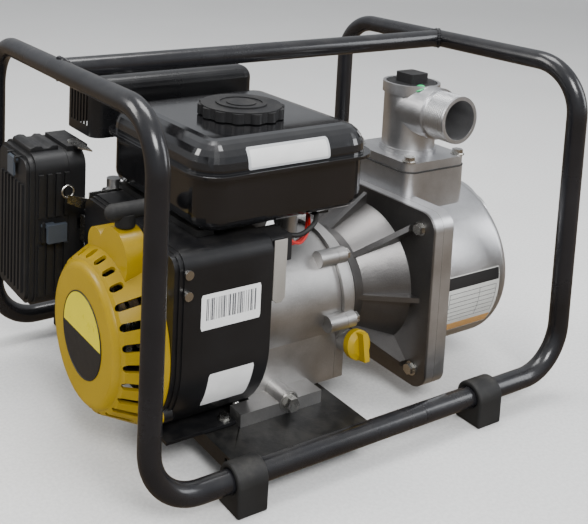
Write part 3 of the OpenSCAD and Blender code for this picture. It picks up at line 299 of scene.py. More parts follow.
# the bracket's engine side, up to 10 mm short of its flange face, carries painted shade
BRACKET_ALLOY = cast_metal("bracket_alloy", (0.62, 0.62, 0.63), 0.40, metal=0.95, depth=0.10,
                           grime=0.2, painted_shade_x=BRACKET[1].x - 10 * MM)
BRIGHT_ALLOY = cast_metal("bright_alloy", (0.66, 0.66, 0.66), 0.32, metal=0.95, depth=0.05,
                          grime=0.12)
HEAD_ALLOY = cast_metal("head_alloy", (0.40, 0.39, 0.38), 0.50, grime=0.4)
IRON = cast_metal("cast_iron", (0.09, 0.085, 0.082), 0.6, metal=0.6, depth=0.16, grime=0.35)
HOT_STEEL = surface("muffler_steel", (0.075, 0.066, 0.060), 0.55, metal=0.5, grain=1100.0,
                    grain_depth=0.07, spread=0.45, wear=(0.22, 0.10, 0.05), relief=0.15)
ZINC = surface("zinc_plated", (0.60, 0.59, 0.56), 0.26, metal=1.0, grain=1500.0,
               grain_depth=0.02, patch=160.0, spread=0.12, wear=(0.48, 0.45, 0.40))
STEEL = turned_metal("turned_steel", (0.50, 0.50, 0.52), 0.24, 0.35 * MM, "X")
TAB_STEEL = surface("satin_tab", (0.42, 0.40, 0.37), 0.5, metal=0.6, grain=1200.0,
                    grain_depth=0.03, spread=0.06)
FOAM = surface("oiled_foam", (0.085, 0.070, 0.030), 0.9, grain=1100.0, grain_depth=0.9,
               patch=80.0, spread=0.4, sheen=0.3)
CERAMIC = surface("plug_ceramic", (0.80, 0.79, 0.75), 0.18, grain=400.0, grain_depth=0.01,
                  spread=0.04)
ROPE = surface("starter_cord", (0.45, 0.43, 0.38), 0.85, grain=2600.0, grain_depth=0.12,
               patch=300.0, spread=0.3, sheen=0.2)
RED_WIRE = surface("red_wire", (0.42, 0.012, 0.010), 0.42, grain=1800.0, grain_depth=0.03)
GASKET = surface("gasket_paper", (0.060, 0.055, 0.048), 0.85, grain=1200.0, grain_depth=0.08,
                 spread=0.3)
LABEL_WHITE = printed("label_white", (0.72, 0.72, 0.71))
LABEL_GREY = printed("label_grey", (0.50, 0.51, 0.52), 0.30)
LABEL_PALE = printed("label_pale", (0.52, 0.52, 0.49))
LABEL_BLACK = printed("label_black", (0.015, 0.015, 0.016))
LABEL_AMBER = printed("label_amber", (0.52, 0.27, 0.08))
LABEL_YELLOW = printed("label_yellow", (0.66, 0.56, 0.006), 0.30)
LABEL_INK = printed("label_ink", (0.09, 0.09, 0.10))
LABEL_GREEN = printed("label_green", (0.02, 0.52, 0.17))

FINISH = {
    "frame_hoop_left": FRAME_PAINT, "frame_hoop_right": FRAME_PAINT, "carry_bar": FRAME_PAINT,
    "base_plate": PLATE_PAINT, "rubber_feet": RUBBER, "mount_bolts": ZINC,
    "crankcase": CAST_ALLOY, "crankcase_cover": CAST_ALLOY, "engine_bolts": ZINC,
    "cylinder_head": HEAD_ALLOY, "rocker_cover": SHROUD_PAINT, "main_bearings": STEEL,
    "crankshaft": STEEL, "camshaft": STEEL, "connecting_rod": BRIGHT_ALLOY,
    "piston": BRIGHT_ALLOY, "flywheel": IRON, "starter_cup": ZINC,
    "oil_filler_cap": YELLOW_CAP, "oil_drain_plug": ZINC, "blower_shroud": SHROUD_PAINT,
    "shroud_screws": ZINC, "recoil_cover": YELLOW, "recoil_reel": BLACK_PLASTIC,
    "pull_handle": RUBBER, "fuel_tank": TANK_PAINT, "fuel_cap": BLACK_PLASTIC,
    "tank_straps": PLATE_PAINT, "fuel_valve": BRIGHT_ALLOY, "fuel_valve_lever": ZINC,
    "fuel_hose": HOSE_RUBBER, "muffler": HOT_STEEL, "muffler_guard": GLOSS_PLASTIC,
    "air_cleaner_base": BLACK_PLASTIC, "air_cleaner_cover": BLACK_PLASTIC,
    "filter_element": FOAM, "cover_clip_upper": CLIP_PLASTIC,
    "cover_clip_lower": CLIP_PLASTIC, "carburettor": BRIGHT_ALLOY, "choke_lever": ZINC,
    "throttle_lever": ZINC, "governor_arm": ZINC, "control_panel": ZINC,
    "speed_lever": ZINC, "ignition_coil": IRON, "spark_plug": CERAMIC,
    "spark_plug_cap": RUBBER, "engine_switch": BLACK_PLASTIC, "switch_rocker": GLOSS_PLASTIC,
    "pump_bracket": BRACKET_ALLOY, "pump_bolts": ZINC, "shaft_seal": RUBBER, "impeller": IRON,
    "volute": IRON, "pump_casing": PUMP_ALLOY, "pump_drain_plug": ZINC,
    "discharge_elbow": PUMP_ALLOY, "priming_plug": BLACK_PLASTIC, "suction_port": PUMP_ALLOY,
    "check_flap": RUBBER,
}


def finish_cad():
    """Gives every CAD node its material."""
    for name, obj in NODES.items():
        obj.data.materials.clear()
        obj.data.materials.append(FINISH[name])


EDGE_MM = {
    "crankcase": 0.9, "crankcase_cover": 0.9, "pump_bracket": 1.0, "pump_casing": 1.6,
    "discharge_elbow": 1.4, "suction_port": 1.2, "blower_shroud": 1.2, "muffler": 0.8,
    "air_cleaner_cover": 1.0, "air_cleaner_base": 0.8, "cylinder_head": 0.5,
    "rubber_feet": 2.0, "pull_handle": 1.0, "priming_plug": 1.2, "oil_filler_cap": 1.2,
    "engine_switch": 1.0, "recoil_cover": 0.7, "fuel_cap": 1.0, "flywheel": 0.8,
    "carburettor": 0.8, "base_plate": 0.6, "tank_straps": 0.8,
}


def soften_edges():
    """Rounds the sharp edges of the CAD parts a little, as castings and mouldings have."""
    for name, obj in NODES.items():
        weld = obj.modifiers.new("weld", "WELD")
        weld.merge_threshold = 0.002 * MM
        bevel = obj.modifiers.new("edges", "BEVEL")
        bevel.width = EDGE_MM.get(name, 0.35) * MM
        bevel.segments = 3 if name in EDGE_MM else 2
        bevel.limit_method = "ANGLE"
        bevel.angle_limit = math.radians(38)
        bevel.use_clamp_overlap = True
        bevel.harden_normals = False
        normals = obj.modifiers.new("normals", "WEIGHTED_NORMAL")
        normals.keep_sharp = True
        normals.weight = 80


# ------------------------------------------------------------------ mesh helpers


def make_object(name, mesh, material, body):
    """New piece riding on a body; with no body, it is left without a parent."""
    obj = bpy.data.objects.new(name, mesh)
    bpy.context.scene.collection.objects.link(obj)
    mesh.materials.append(material)
    if body:
        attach(obj, body)
    return obj


def from_bmesh(name, bm, material, body, smooth=True):
    """Turns a bmesh into a piece, with creases left sharp."""
    bmesh.ops.remove_doubles(bm, verts=bm.verts, dist=1e-6)
    bmesh.ops.recalc_face_normals(bm, faces=bm.faces)
    mesh = bpy.data.meshes.new(name)
    bm.to_mesh(mesh)
    bm.free()
    if smooth:
        mesh.shade_smooth()
        mesh.set_sharp_from_angle(angle=math.radians(35))
    return make_object(name, mesh, material, body)


def catmull(points, steps=8):
    """Smooth path through the given points."""
    pts = [Vector(p) for p in points]
    pts = [2 * pts[0] - pts[1]] + pts + [2 * pts[-1] - pts[-2]]
    path = []
    for i in range(1, len(pts) - 2):
        p0, p1, p2, p3 = pts[i - 1:i + 3]
        for k in range(steps):
            t = k / steps
            path.append(0.5 * ((2 * p1) + (p2 - p0) * t + (2 * p0 - 5 * p1 + 4 * p2 - p3) * t * t
                               + (3 * p1 - p0 - 3 * p2 + p3) * t ** 3))
    path.append(pts[-2])
    return path


def sweep(bm, path, radius, sides=12, closed=False):
    """Adds a round tube along a path; radius may be a function of the position 0 to 1."""
    rings = []
    side = None
    count = len(path)
    for i, p in enumerate(path):
        if closed:
            ahead = path[(i + 1) % count] - path[i - 1]
        else:
            ahead = path[min(i + 1, count - 1)] - path[max(i - 1, 0)]
        ahead.normalize()
        if side is None:
            side = ahead.orthogonal().normalized()
        side = (side - ahead * side.dot(ahead)).normalized()
        other = ahead.cross(side)
        r = radius(i / max(1, count - 1)) if callable(radius) else radius
        ring = []
        for k in range(sides):
            a = 2 * math.pi * k / sides
            ring.append(bm.verts.new(p + r * (math.cos(a) * side + math.sin(a) * other)))
        rings.append(ring)
    last = count if closed else count - 1
    for i in range(last):
        a, b = rings[i], rings[(i + 1) % count]
        for k in range(sides):
            bm.faces.new((a[k], a[(k + 1) % sides], b[(k + 1) % sides], b[k]))
    if not closed:
        bm.faces.new(list(reversed(rings[0])))
        bm.faces.new(rings[-1])


def cable(name, points, radius, material):
    """Insulated wire that stays with the set."""
    bm = bmesh.new()
    sweep(bm, catmull(points), radius)
    return from_bmesh(name, bm, material, "set")


def axis_matrix(origin, axis):
    """Places local Z along axis at origin."""
    return Matrix.Translation(origin) @ Vector(axis).to_track_quat("Z", "Y").to_matrix().to_4x4()


def lathe(bm, profile, origin, axis, sides=48):
    """Adds a closed solid turned about axis; profile is a loop of (radius, height)."""
    place = axis_matrix(Vector(origin), axis)
    rings = []
    for r, h in profile:
        if r < 1e-7:
            rings.append([bm.verts.new(place @ Vector((0, 0, h)))])
            continue
        rings.append([bm.verts.new(place @ Vector((r * math.cos(2 * math.pi * k / sides),
                                                   r * math.sin(2 * math.pi * k / sides), h)))
                      for k in range(sides)])
    count = len(profile)
    for i in range(count):
        a, b = rings[i], rings[(i + 1) % count]
        if len(a) == 1 and len(b) == 1:
            continue
        for k in range(sides):
            j = (k + 1) % sides
            if len(a) == 1:
                bm.faces.new((a[0], b[j], b[k]))
            elif len(b) == 1:
                bm.faces.new((a[k], a[j], b[0]))
            else:
                bm.faces.new((a[k], a[j], b[j], b[k]))


def torus_ring(bm, origin, axis, radius, thick, sides=64):
    """Adds a round ring about axis."""
    place = axis_matrix(Vector(origin), axis)
    path = [place @ Vector((radius * math.cos(2 * math.pi * k / sides),
                            radius * math.sin(2 * math.pi * k / sides), 0)) for k in range(sides)]
    sweep(bm, path, thick, 10, closed=True)


def patch(name, wall, u_range, v_range, rise, material, slot, corner=0.0):
    """A thin sheet stuck on a wall. wall(u, v) gives a point and its outward normal.

    The outline is a rectangle in u and v with round corners."""
    steps = 12
    u0, u1 = u_range
    v0, v1 = v_range
    bm = bmesh.new()
    rows = []
    for k in range(steps + 1):
        v = v0 + (v1 - v0) * k / steps
        inset = 0.0
        depth = min(v - v0, v1 - v)
        if corner and depth < corner:
            inset = corner - math.sqrt(max(0.0, corner ** 2 - (corner - depth) ** 2))
        rows.append([(u0 + inset + (u1 - u0 - 2 * inset) * i / steps, v)
                     for i in range(steps + 1)])
    layers = []
    for lift in (0.0, rise):
        grid = []
        for row in rows:
            line = []
            for u, v in row:
                p, n = wall(u, v)
                line.append(bm.verts.new(Vector(p) + Vector(n) * (0.05 * MM + lift)))
            grid.append(line)
        layers.append(grid)
    low, top = layers
    for i in range(steps):
        for j in range(steps):
            bm.faces.new((top[i][j], top[i][j + 1], top[i + 1][j + 1], top[i + 1][j]))
            bm.faces.new((low[i][j], low[i + 1][j], low[i + 1][j + 1], low[i][j + 1]))
    for i in range(steps):
        bm.faces.new((low[0][i], low[0][i + 1], top[0][i + 1], top[0][i]))
        bm.faces.new((low[steps][i + 1], low[steps][i], top[steps][i], top[steps][i + 1]))
        bm.faces.new((low[i + 1][0], low[i][0], top[i][0], top[i + 1][0]))
        bm.faces.new((low[i][steps], low[i + 1][steps], top[i + 1][steps], top[i][steps]))
    return from_bmesh(name, bm, material, "set")


def shroud_wall(x, z):
    """Near wall of the fan housing: flat above the crankshaft, round below it."""
    drop = min(0.0, z - CRANK.z)
    reach = math.sqrt(SHROUD_R ** 2 - drop ** 2)
    return (x, CRANK.y - reach, z), Vector((0, -reach, drop)).normalized()


def casing_wall(x, z):
    """Near side of the round pump casing."""
    rise = z - CRANK.z
    reach = math.sqrt(CASING_R ** 2 - rise ** 2)
    return (x, CRANK.y - reach, z), Vector((0, -reach, rise)).normalized()


def tank_wall(x, z):
    """Near side of the tank's upper half, which leans back as it rises."""
    y0 = TANK[0].y + 5 * MM
    seam = TANK[0].z + 51 * MM
    rise = (z - seam - 5 * MM) / (22 * MM)
    rise = max(0.0, min(1.0, rise))
    back = 22 * MM * (1 - math.sqrt(1 - rise ** 2))
    return (x, y0 + back, z), Vector((0, -math.sqrt(1 - rise ** 2), rise)).normalized()


# ------------------------------------------------------------------ labels


def shroud_labels():
    """Two blank stickers on the fan housing; the upper one carries bars with no code."""
    rise = 0.12 * MM
    corner = 1.0 * MM
    x0 = SHROUD[0].x + 25 * MM
    z0 = CRANK.z + 28 * MM
    patch("shroud_label", shroud_wall, (x0, x0 + 60 * MM), (z0, z0 + 31 * MM), rise,
          LABEL_WHITE, "ceramic", corner)
    low = z0 + 8 * MM
    high = z0 + 27 * MM
    front = NEAR_WALL - 0.2 * MM
    back = NEAR_WALL - 0.1 * MM
    bm = bmesh.new()
    x = x0 + 5 * MM
    while x < x0 + 55 * MM:
        end = x + random.choice((0.5, 0.9, 1.5)) * MM
        vs = [bm.verts.new((px, y, pz)) for y in (front, back)
              for px, pz in ((x, low), (end, low), (end, high), (x, high))]
        for f in ((0, 1, 2, 3), (7, 6, 5, 4), (0, 4, 5, 1), (1, 5, 6, 2), (2, 6, 7, 3), (3, 7, 4, 0)):
            bm.faces.new([vs[i] for i in f])
        x = end + random.choice((0.6, 1.0, 1.6)) * MM
    from_bmesh("shroud_label_bars", bm, LABEL_INK, "set", smooth=False)
    x1 = SHROUD[0].x + 36 * MM
    z1 = CRANK.z - 48 * MM
    patch("shroud_label_low", shroud_wall, (x1, x1 + 46 * MM), (z1, z1 + 35 * MM), rise,
          LABEL_WHITE, "ceramic", corner)


def tank_label():
    """Blank plate on the tank: a grey border with a white field a little proud of it."""
    mid = TANK[0].x + 93 * MM
    low = TANK[0].z + 54 * MM
    high = low + 18 * MM
    half = 44 * MM
    side = 2.5 * MM
    edge = 2 * MM
    patch("tank_label", tank_wall, (mid - half, mid + half), (low, high), 0.25 * MM,
          LABEL_GREY, "ceramic", 1.5 * MM)
    patch("tank_label_field", tank_wall, (mid - half + side, mid + half - side),
          (low + edge, high - edge), 0.35 * MM, LABEL_WHITE, "ceramic", 1.0 * MM)


def pump_label():
    """Data label with no lettering: a dark head, an amber foot and a ruled field between."""
    x0 = CASING[0].x + 22 * MM
    x1 = x0 + 74 * MM
    z0 = CRANK.z - 48 * MM
    z1 = z0 + 64 * MM
    edge = 1 * MM
    line = 0.5 * MM
    margin = 4 * MM
    field = z0 + 16 * MM
    patch("pump_label", casing_wall, (x0, x1), (z0, z1), 0.15 * MM, LABEL_PALE, "ceramic", edge)
    patch("pump_label_head", casing_wall, (x0 + edge, x1 - edge), (z1 - 13 * MM, z1 - edge),
          0.25 * MM, LABEL_BLACK, "black_rubber", edge / 2)
    patch("pump_label_foot", casing_wall, (x0 + edge, x1 - edge), (z0 + edge, z0 + 11 * MM),
          0.25 * MM, LABEL_AMBER, "yellow_plastic", edge / 2)
    for i in range(7):
        z = field + 5 * i * MM
        patch("pump_label_line_%d" % i, casing_wall, (x0 + margin, x1 - margin), (z, z + line),
              0.22 * MM, LABEL_INK, "black_rubber")
    for i, x in enumerate((x0 + margin, x0 + 46 * MM, x1 - margin - line)):
        patch("pump_label_rule_%d" % i, casing_wall, (x, x + line), (field, field + 30.5 * MM),
              0.21 * MM, LABEL_INK, "black_rubber")


def half_disc(name, radius, start, material):
    """Half of a round badge on the starter cover's face, from the angle start."""
    x = COVER[0].x
    bm = bmesh.new()
    steps = 40
    rim = []
    for k in range(steps + 1):
        a = math.radians(start + 180.0 * k / steps)
        rim.append((radius * math.cos(a), radius * math.sin(a)))
    layers = []
    for lift in (0.05 * MM, 0.5 * MM):
        layers.append([bm.verts.new((x - lift, CRANK.y + u, CRANK.z + v)) for u, v in rim])
    bm.faces.new(layers[1])
    bm.faces.new(list(reversed(layers[0])))
    n = steps + 1
    for k in range(n):
        j = (k + 1) % n
        bm.faces.new((layers[0][k], layers[0][j], layers[1][j], layers[1][k]))
    return from_bmesh(name, bm, material, "set")


def starter_badge():
    """Blank two-colour badge with a dark rim."""
    radius = 37 * MM
    half_disc("badge_upper", radius, 0, LABEL_YELLOW)
    half_disc("badge_lower", radius, 180, LABEL_BLACK)
    centre = (COVER[0].x - 0.25 * MM, CRANK.y, CRANK.z)
    bm = bmesh.new()
    torus_ring(bm, centre, (1, 0, 0), radius + 0.6 * MM, 0.7 * MM)
    from_bmesh("badge_rim", bm, LABEL_BLACK, "set")


# ------------------------------------------------------------------ pump details


def port_threads():
    """Round-topped thread turns on both ports."""
    bm = bmesh.new()
    y = ELBOW[0].y + 3 * MM
    while y < ELBOW[0].y + 24 * MM:
        torus_ring(bm, (OUTLET.x, y, OUTLET.z), (0, 1, 0), THREAD_R, THREAD_WIRE)
        y += THREAD_PITCH
    from_bmesh("outlet_thread", bm, BRIGHT_ALLOY, "set")
    bm = bmesh.new()
    x = SUCTION[1].x - 2.5 * MM
    while x > SUCTION[1].x - 18 * MM:
        torus_ring(bm, (x, INLET.y, INLET.z), (1, 0, 0), THREAD_R, THREAD_WIRE)
        x -= THREAD_PITCH
    from_bmesh("inlet_thread", bm, BRIGHT_ALLOY, "set")


def round_outline(w, h, corner, grow=0.0):
    """Corner arcs of a round-cornered rectangle about the origin, as 28 points."""
    points = []
    for su, sv, start in ((1, 1, 0), (-1, 1, 90), (-1, -1, 180), (1, -1, 270)):
        for k in range(7):
            a = math.radians(start + 15 * k)
            points.append((su * (w / 2 - corner) + (corner + grow) * math.cos(a),
                           sv * (h / 2 - corner) + (corner + grow) * math.sin(a)))
    return points


def casing_gasket():
    """Paper gasket that shows as a thin dark line between the casing and the bracket."""
    thick = 0.3 * MM
    width = 16 * MM
    x = CASING[0].x - thick
    bm = bmesh.new()
    loops = []
    for inset in (0.0, width):
        outline = round_outline(FLANGE_W - 2 * inset, FLANGE_H - 2 * inset,
                                FLANGE_CORNER - inset / 2)
        for dx in (0.0, thick):
            loops.append([bm.verts.new((x + dx, CRANK.y + u, CRANK.z + v)) for u, v in outline])
    outer_a, outer_b, inner_a, inner_b = loops
    n = len(outer_a)
    for k in range(n):
        j = (k + 1) % n
        bm.faces.new((outer_a[k], outer_a[j], outer_b[j], outer_b[k]))
        bm.faces.new((inner_b[k], inner_b[j], inner_a[j], inner_a[k]))
        bm.faces.new((outer_b[k], outer_b[j], inner_b[j], inner_b[k]))
        bm.faces.new((inner_a[k], inner_a[j], outer_a[j], outer_a[k]))
    from_bmesh("casing_gasket", bm, GASKET, "set")


def neck_gasket():
    """Rubber gasket squeezed between the casing's neck and the outlet elbow."""
    top = ELBOW[0].z - 0.05 * MM
    low = top - 1.5 * MM
    length = ELBOW[1].x - ELBOW[0].x + 1.2 * MM
    width = 89.2 * MM
    hole_r = 34 * MM
    bm = bmesh.new()
    loops = []
    for z, bulge in ((low, 0.0), ((low + top) / 2, 0.5 * MM), (top, 0.0)):
        outline = round_outline(length, width, 12 * MM, bulge)
        loops.append([bm.verts.new((OUTLET.x + u, CRANK.y + v, z)) for u, v in outline])
    count = len(loops[0])
    turns = [2 * math.pi * (k + 0.5) / count for k in range(count)]
    hole = [[bm.verts.new((OUTLET.x + hole_r * math.cos(a), CRANK.y + hole_r * math.sin(a), z))
             for a in turns] for z in (low, top)]
    rings = [hole[0]] + loops + [hole[1]]
    for lower, upper in zip(rings, rings[1:] + rings[:1]):
        for k in range(count):
            j = (k + 1) % count
            bm.faces.new((lower[k], lower[j], upper[j], upper[k]))
    from_bmesh("neck_gasket", bm, RUBBER, "set")


def elbow_dot():
    """Small round inspection sticker on the outlet elbow."""
    place = (OUTLET.x - 12 * MM, ELBOW[0].y + 45 * MM, OUTLET.z + 24 * MM)
    profile = [(0, 0), (6 * MM, 0), (6.2 * MM, 0.2 * MM), (5.9 * MM, 0.4 * MM), (0, 0.4 * MM)]
    bm = bmesh.new()
    lathe(bm, profile, place, (-0.45, 0, 0.9), 32)
    from_bmesh("elbow_dot", bm, LABEL_GREEN, "set")


# ------------------------------------------------------------------ wires and rope


def starter_rope():
    """Braided rope from the cover's guide up into the handle."""
    x = HANDLE[0].x + 19.5 * MM
    y = (HANDLE[0].y + HANDLE[1].y) / 2
    low = CRANK.z + 76 * MM
    high = HANDLE[0].z + 4 * MM
    lay = 0.9 * MM
    twist = 14
    steps = 90
    bm = bmesh.new()
    for phase in (0.0, 2.1, 4.2):
        path = []
        for k in range(steps + 1):
            t = k / steps
            a = phase + t * twist
            path.append(Vector((x + lay * math.cos(a), y + lay * math.sin(a),
                                low + (high - low) * t)))
        sweep(bm, path, 1.15 * MM, 8)
    rope = from_bmesh("starter_rope", bm, ROPE, None)
    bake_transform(rope)


def wiring():
    """Three wires that leave the stop switch for the engine block."""
    exit_place = Vector((SWITCH[1].x, SWITCH[0].y + 12 * MM, SWITCH[1].z))
    for name, steps, radius, material in (
            ("wire_red", ((0, 0, -8), (12, -4, -12), (26, 2, -4), (40, 20, 2)), 1.4, RED_WIRE),
            ("wire_red_b", ((0, 4, -10), (10, 3, -15), (25, 6, -9), (42, 24, 0)), 1.3, RED_WIRE),
            ("wire_black", ((0, 7, -6), (14, -1, -6), (30, 0, 1), (46, 16, 3)), 2.2, RUBBER)):
        cable(name, [exit_place + Vector(step) * MM for step in steps], radius * MM, material)


def spark_lead():
    """Ignition lead from the plug cap, round the fan housing's edge and into the coil."""
    low, high = PLUG_CAP
    start = Vector((low.x + 1 * MM, (low.y + high.y) / 2 + 8 * MM, low.z + 7 * MM))
    edge = Vector((SHROUD[1].x, CRANK.y, CRANK.z))
    cable("spark_lead", [start, start + Vector((-14, 0, 2)) * MM, start + Vector((-34, -10, 22)) * MM,
                         edge + Vector((2, 93, 40)) * MM, edge + Vector((-20, 83, 50)) * MM,
                         Vector((COIL[1].x, CRANK.y + 78 * MM, COIL[1].z - 9 * MM))],
          3.4 * MM, RUBBER)


def coil_spring(name, start, end, radius, wire, turns):
    """Tension spring with a straight hook at each end, made with no body."""
    along = (end - start).normalized()
    side = along.orthogonal().normalized()
    other = along.cross(side)
    path = [start]
    first = start.lerp(end, 0.15)
    last = start.lerp(end, 0.85)
    steps = 14 * turns
    for k in range(steps + 1):
        t = k / steps
        ang = 2 * math.pi * turns * t
        path.append(first.lerp(last, t) + radius * (math.cos(ang) * side + math.sin(ang) * other))
    path.append(end)
    bm = bmesh.new()
    sweep(bm, path, wire, 7)
    return from_bmesh(name, bm, ZINC, None)


def bent_wire(name, points, radius, body):
    """Bright wire form through the given points."""
    bm = bmesh.new()
    sweep(bm, catmull(points, 6), radius, 9)
    return from_bmesh(name, bm, ZINC, body)


def linkage():
    """Spring and wire forms between the control bracket, the governor and the carburettor."""
    lever = joint_place("speed_turn")
    arm = joint_place("governor_turn")
    hook = Vector((lever.x + 16 * MM, lever.y + 9 * MM, PANEL[1].z - 2 * MM))
    arm_eye = arm + Vector((-12, 58, 10)) * MM
    spring = coil_spring("governor_spring", hook, arm_eye, 2.6 * MM, 0.45 * MM, 14)
    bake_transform(spring)

    # the link is two wires that meet halfway, running from the throttle to the arm
    wire = 0.8 * MM
    pin = joint_place("throttle_turn") + Vector((0, -27, 6)) * MM
    rise = pin + Vector((4, -1, 9)) * MM
    near_arm = arm + Vector((-14, 59, 12)) * MM
    arm_end = arm + Vector((-3, 59, 13)) * MM
    middle = rise.lerp(near_arm, 0.5)
    lower = bent_wire("throttle_link", [pin, rise, middle], wire, None)
    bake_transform(lower)
    upper = bent_wire("governor_link", [middle, near_arm, arm_end], wire, None)
    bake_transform(upper)

    eye_r = 6 * MM
    eye = lever + Vector((-33, 1, 21)) * MM
    turns = [k * math.pi / 8 for k in range(17)]
    loop = [eye + eye_r * Vector((math.cos(a), 0, math.sin(a))) for a in turns]
    bent_wire("control_cable_eye", loop, 0.9 * MM, "speed_control")


def round_edges(bm, offset):
    """Rounds every edge of a small moulding."""
    bmesh.ops.bevel(bm, geom=list(bm.edges), offset=offset, segments=3, profile=0.5,
                    affect="EDGES", clamp_overlap=True)


def switch_bracket():
    """Bare steel tab that carries the stop switch on the fan housing's rear edge."""
    x0 = SHROUD[1].x + 1.2 * MM
    x1 = x0 + 13.5 * MM
    y = SWITCH[0].y - 0.4 * MM
    z0 = SWITCH[0].z - 2 * MM
    z1 = SWITCH[1].z - 1 * MM
    cut = 4 * MM
    thick = 1.2 * MM
    corners = [(x0 + cut, y, z0), (x1 - cut, y, z0), (x1, y, z0 + cut), (x1, y, z1),
               (x0, y, z1), (x0, y, z0 + cut)]
    bm = bmesh.new()
    face = bm.faces.new([bm.verts.new(corner) for corner in corners])
    grown = bmesh.ops.extrude_face_region(bm, geom=[face])
    moved = [v for v in grown["geom"] if isinstance(v, bmesh.types.BMVert)]
    bmesh.ops.translate(bm, verts=moved, vec=(0, -thick, 0))
    round_edges(bm, 0.4 * MM)
    from_bmesh("switch_bracket", bm, TAB_STEEL, "set")


def cleaner_lip():
    """Raised lip with two grooves along the top of the filter cover."""
    x0 = CLEANER[0].x + 12 * MM
    x1 = CLEANER[1].x - 4 * MM
    y0 = CLEANER[0].y + 22 * MM
    y1 = CLEANER_BASE[1].y - 20 * MM
    top = CLEANER[1].z
    bm = bmesh.new()
    profile = [(x0, top - 1.5 * MM), (x0, top + 4 * MM), (x0 + 6 * MM, top + 6 * MM),
               (x0 + 12 * MM, top + 5 * MM), (x0 + 14 * MM, top + 2.5 * MM),
               (x0 + 20 * MM, top + 2.5 * MM), (x0 + 23 * MM, top + 5 * MM),
               (x1, top + 4 * MM), (x1, top - 1.5 * MM)]
    ends = [[bm.verts.new((x, y, z)) for x, z in profile] for y in (y0, y1)]
    bm.faces.new(ends[0])
    bm.faces.new(list(reversed(ends[1])))
    n = len(profile)
    for k in range(n):
        j = (k + 1) % n
        bm.faces.new((ends[0][k], ends[1][k], ends[1][j], ends[0][j]))
    bmesh.ops.recalc_face_normals(bm, faces=bm.faces)
    round_edges(bm, 1.0 * MM)
    from_bmesh("cleaner_lip", bm, BLACK_PLASTIC, "filter_cover")


# ------------------------------------------------------------------ frame details


def weld_beads():
    """Rippled weld beads where the carrying bar meets the hoops."""
    bm = bmesh.new()
    mid_z = (BAR[0].z + BAR[1].z) / 2
    mid_y = (BAR[0].y + BAR[1].y) / 2
    proud = 1.03
    steps = 60
    for sign in (-1, 1):
        hoop_x = sign * (abs(HOOP[0].x) - TUBE_R)
        path = []
        for k in range(steps):
            a = 2 * math.pi * k / steps
            dy = TUBE_R * math.cos(a)
            dz = TUBE_R * math.sin(a)
            dx = math.sqrt(max(0.0, TUBE_R ** 2 - dz ** 2))
            path.append(Vector((hoop_x - sign * (dx + 0.4 * MM), mid_y + dy * proud,
                                mid_z + dz * proud)))
        sweep(bm, path, lambda t: (1.7 + 0.35 * math.sin(t * 150)) * MM, 8, closed=True)
    from_bmesh("bar_welds", bm, FRAME_PAINT, "set")


# ------------------------------------------------------------------ set, light and camera


def studio_floor():
    """Pale floor that curves up into a back wall, facing the camera."""
    mesh = bpy.data.meshes.new("floor")
    bm = bmesh.new()
    reach = 6.0
    rise = 3.0
    bend = 1.2
    profile = [(-reach, 0.0), (reach / 2, 0.0)]
    for k in range(1, 13):
        a = math.radians(7.5 * k)
        profile.append((reach / 2 + bend * math.sin(a), bend * (1 - math.cos(a))))
    profile.append((reach / 2 + bend, rise + bend))
    heading = Matrix.Rotation(-VIEW_HEADING, 4, "Z")
    rows = []
    for side in (-reach, reach):
        rows.append([bm.verts.new(heading @ Vector((side, d, z))) for d, z in profile])
    for k in range(len(profile) - 1):
        bm.faces.new((rows[0][k], rows[1][k], rows[1][k + 1], rows[0][k + 1]))
    bm.to_mesh(mesh)
    bm.free()
    mesh.shade_smooth()
    floor = bpy.data.objects.new("floor", mesh)
    bpy.context.scene.collection.objects.link(floor)
    mesh.materials.append(surface("studio_floor", (0.80, 0.80, 0.79), 0.6, grain=300.0,
                                  grain_depth=0.02, patch=3.0, spread=0.015))
    floor.visible_glossy = False


def studio_world():
    """Soft surroundings: warm and dark below, bright above, and plain grey to the camera."""
    world = bpy.data.worlds.new("studio_world")
    world.use_nodes = True
    tree = world.node_tree
    coord = tree.nodes.new("ShaderNodeTexCoord")
    split = tree.nodes.new("ShaderNodeSeparateXYZ")
    span = tree.nodes.new("ShaderNodeMapRange")
    span.inputs["From Min"].default_value = -1.0
    sky = tree.nodes.new("ShaderNodeValToRGB")
    stops = ((0.0, (0.16, 0.12, 0.08)), (0.40, (0.30, 0.23, 0.16)), (0.50, (0.40, 0.39, 0.38)),
             (0.66, (0.52, 0.54, 0.57)), (1.0, (0.95, 0.97, 1.0)))
    while len(sky.color_ramp.elements) < len(stops):
        sky.color_ramp.elements.new(0.5)
    for element, (pos, rgb) in zip(sky.color_ramp.elements, stops):
        element.position = pos
        element.color = (*rgb, 1)
    back = tree.nodes["Background"]
    back.inputs["Strength"].default_value = 0.9
    tree.links.new(coord.outputs["Generated"], split.inputs["Vector"])
    tree.links.new(split.outputs["Z"], span.inputs["Value"])
    tree.links.new(span.outputs["Result"], sky.inputs["Fac"])
    seen = tree.nodes.new("ShaderNodeLightPath")
    shown = tree.nodes.new("ShaderNodeMix")
    shown.data_type = "RGBA"
    shown.inputs[7].default_value = (0.62, 0.62, 0.62, 1)
    tree.links.new(seen.outputs["Is Camera Ray"], shown.inputs[0])
    tree.links.new(sky.outputs["Color"], shown.inputs[6])
    tree.links.new(shown.outputs[2], back.inputs["Color"])
    bpy.context.scene.world = world


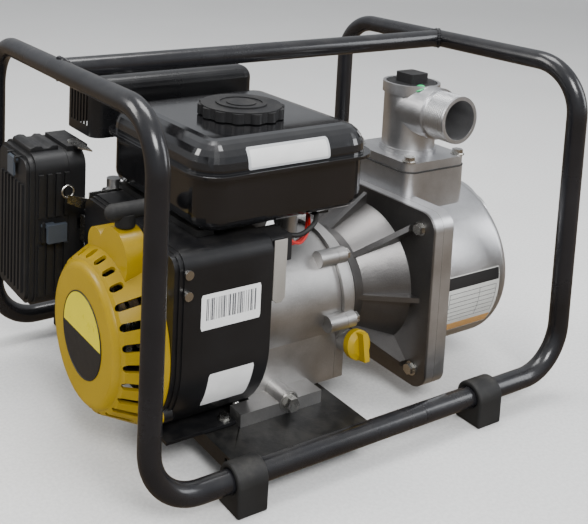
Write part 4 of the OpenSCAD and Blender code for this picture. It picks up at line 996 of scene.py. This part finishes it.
def area_light(name, place, size, watts, colour=(1, 1, 1)):
    """Rectangular lamp aimed at the middle of the set."""
    data = bpy.data.lights.new(name, "AREA")
    data.shape = "RECTANGLE"
    data.size, data.size_y = size
    data.energy = watts
    data.color = colour
    lamp = bpy.data.objects.new(name, data)
    lamp.location = place
    aim = Vector((0, 0, 0.15)) - Vector(place)
    lamp.rotation_euler = aim.to_track_quat("-Z", "Y").to_euler()
    bpy.context.scene.collection.objects.link(lamp)


def lights():
    area_light("key", (-0.6, -1.6, 1.7), (0.9, 0.7), 46)
    area_light("fill", (1.7, -1.2, 0.9), (0.7, 1.2), 16, (0.95, 0.97, 1.0))
    area_light("rim", (-1.5, 0.9, 1.3), (0.6, 1.0), 20, (1.0, 0.98, 0.95))
    area_light("top", (0.2, 0.2, 2.0), (1.0, 0.8), 26)


# place in metres, lens in millimetres, shift in frame widths
VIEW_PLACE = Vector((-0.5709, -0.7386, 0.5074))
VIEW_HEADING = math.radians(29.82)
VIEW_PITCH = math.radians(-7.29)
VIEW_ROLL = math.radians(1.77)
VIEW_SHIFT = (0.2370, -0.4512)
VIEW_LENS = 57.05


def camera():
    """Camera at the viewing place. Its lens shift holds only there, so that any other
    view of the object stays centred."""
    data = bpy.data.cameras.new("camera")
    data.sensor_width = 36.0
    data.lens = VIEW_LENS
    data.clip_end = 50
    cam = bpy.data.objects.new("camera", data)
    bpy.context.scene.collection.objects.link(cam)
    turn = Matrix.Rotation(-VIEW_HEADING, 3, "Z") @ Matrix.Rotation(math.pi / 2 + VIEW_PITCH, 3, "X")
    turn = turn @ Matrix.Rotation(VIEW_ROLL, 3, "Z")
    cam.rotation_euler = turn.to_euler()
    cam.location = VIEW_PLACE
    bpy.context.scene.camera = cam
    for prop, value in zip(("shift_x", "shift_y"), VIEW_SHIFT):
        drv = data.driver_add(prop).driver
        var = drv.variables.new()
        var.name = "x"
        var.type = "TRANSFORMS"
        var.targets[0].id = cam
        var.targets[0].transform_type = "LOC_X"
        drv.expression = "%.4f if abs(x - %.4f) < 0.0005 else 0" % (value, VIEW_PLACE.x)


# ------------------------------------------------------------------ build


finish_cad()
soften_edges()
shroud_labels()
tank_label()
pump_label()
starter_badge()
port_threads()
casing_gasket()
neck_gasket()
elbow_dot()
starter_rope()
linkage()
switch_bracket()
cleaner_lip()
wiring()
spark_lead()
weld_beads()
studio_floor()
studio_world()
lights()
camera()
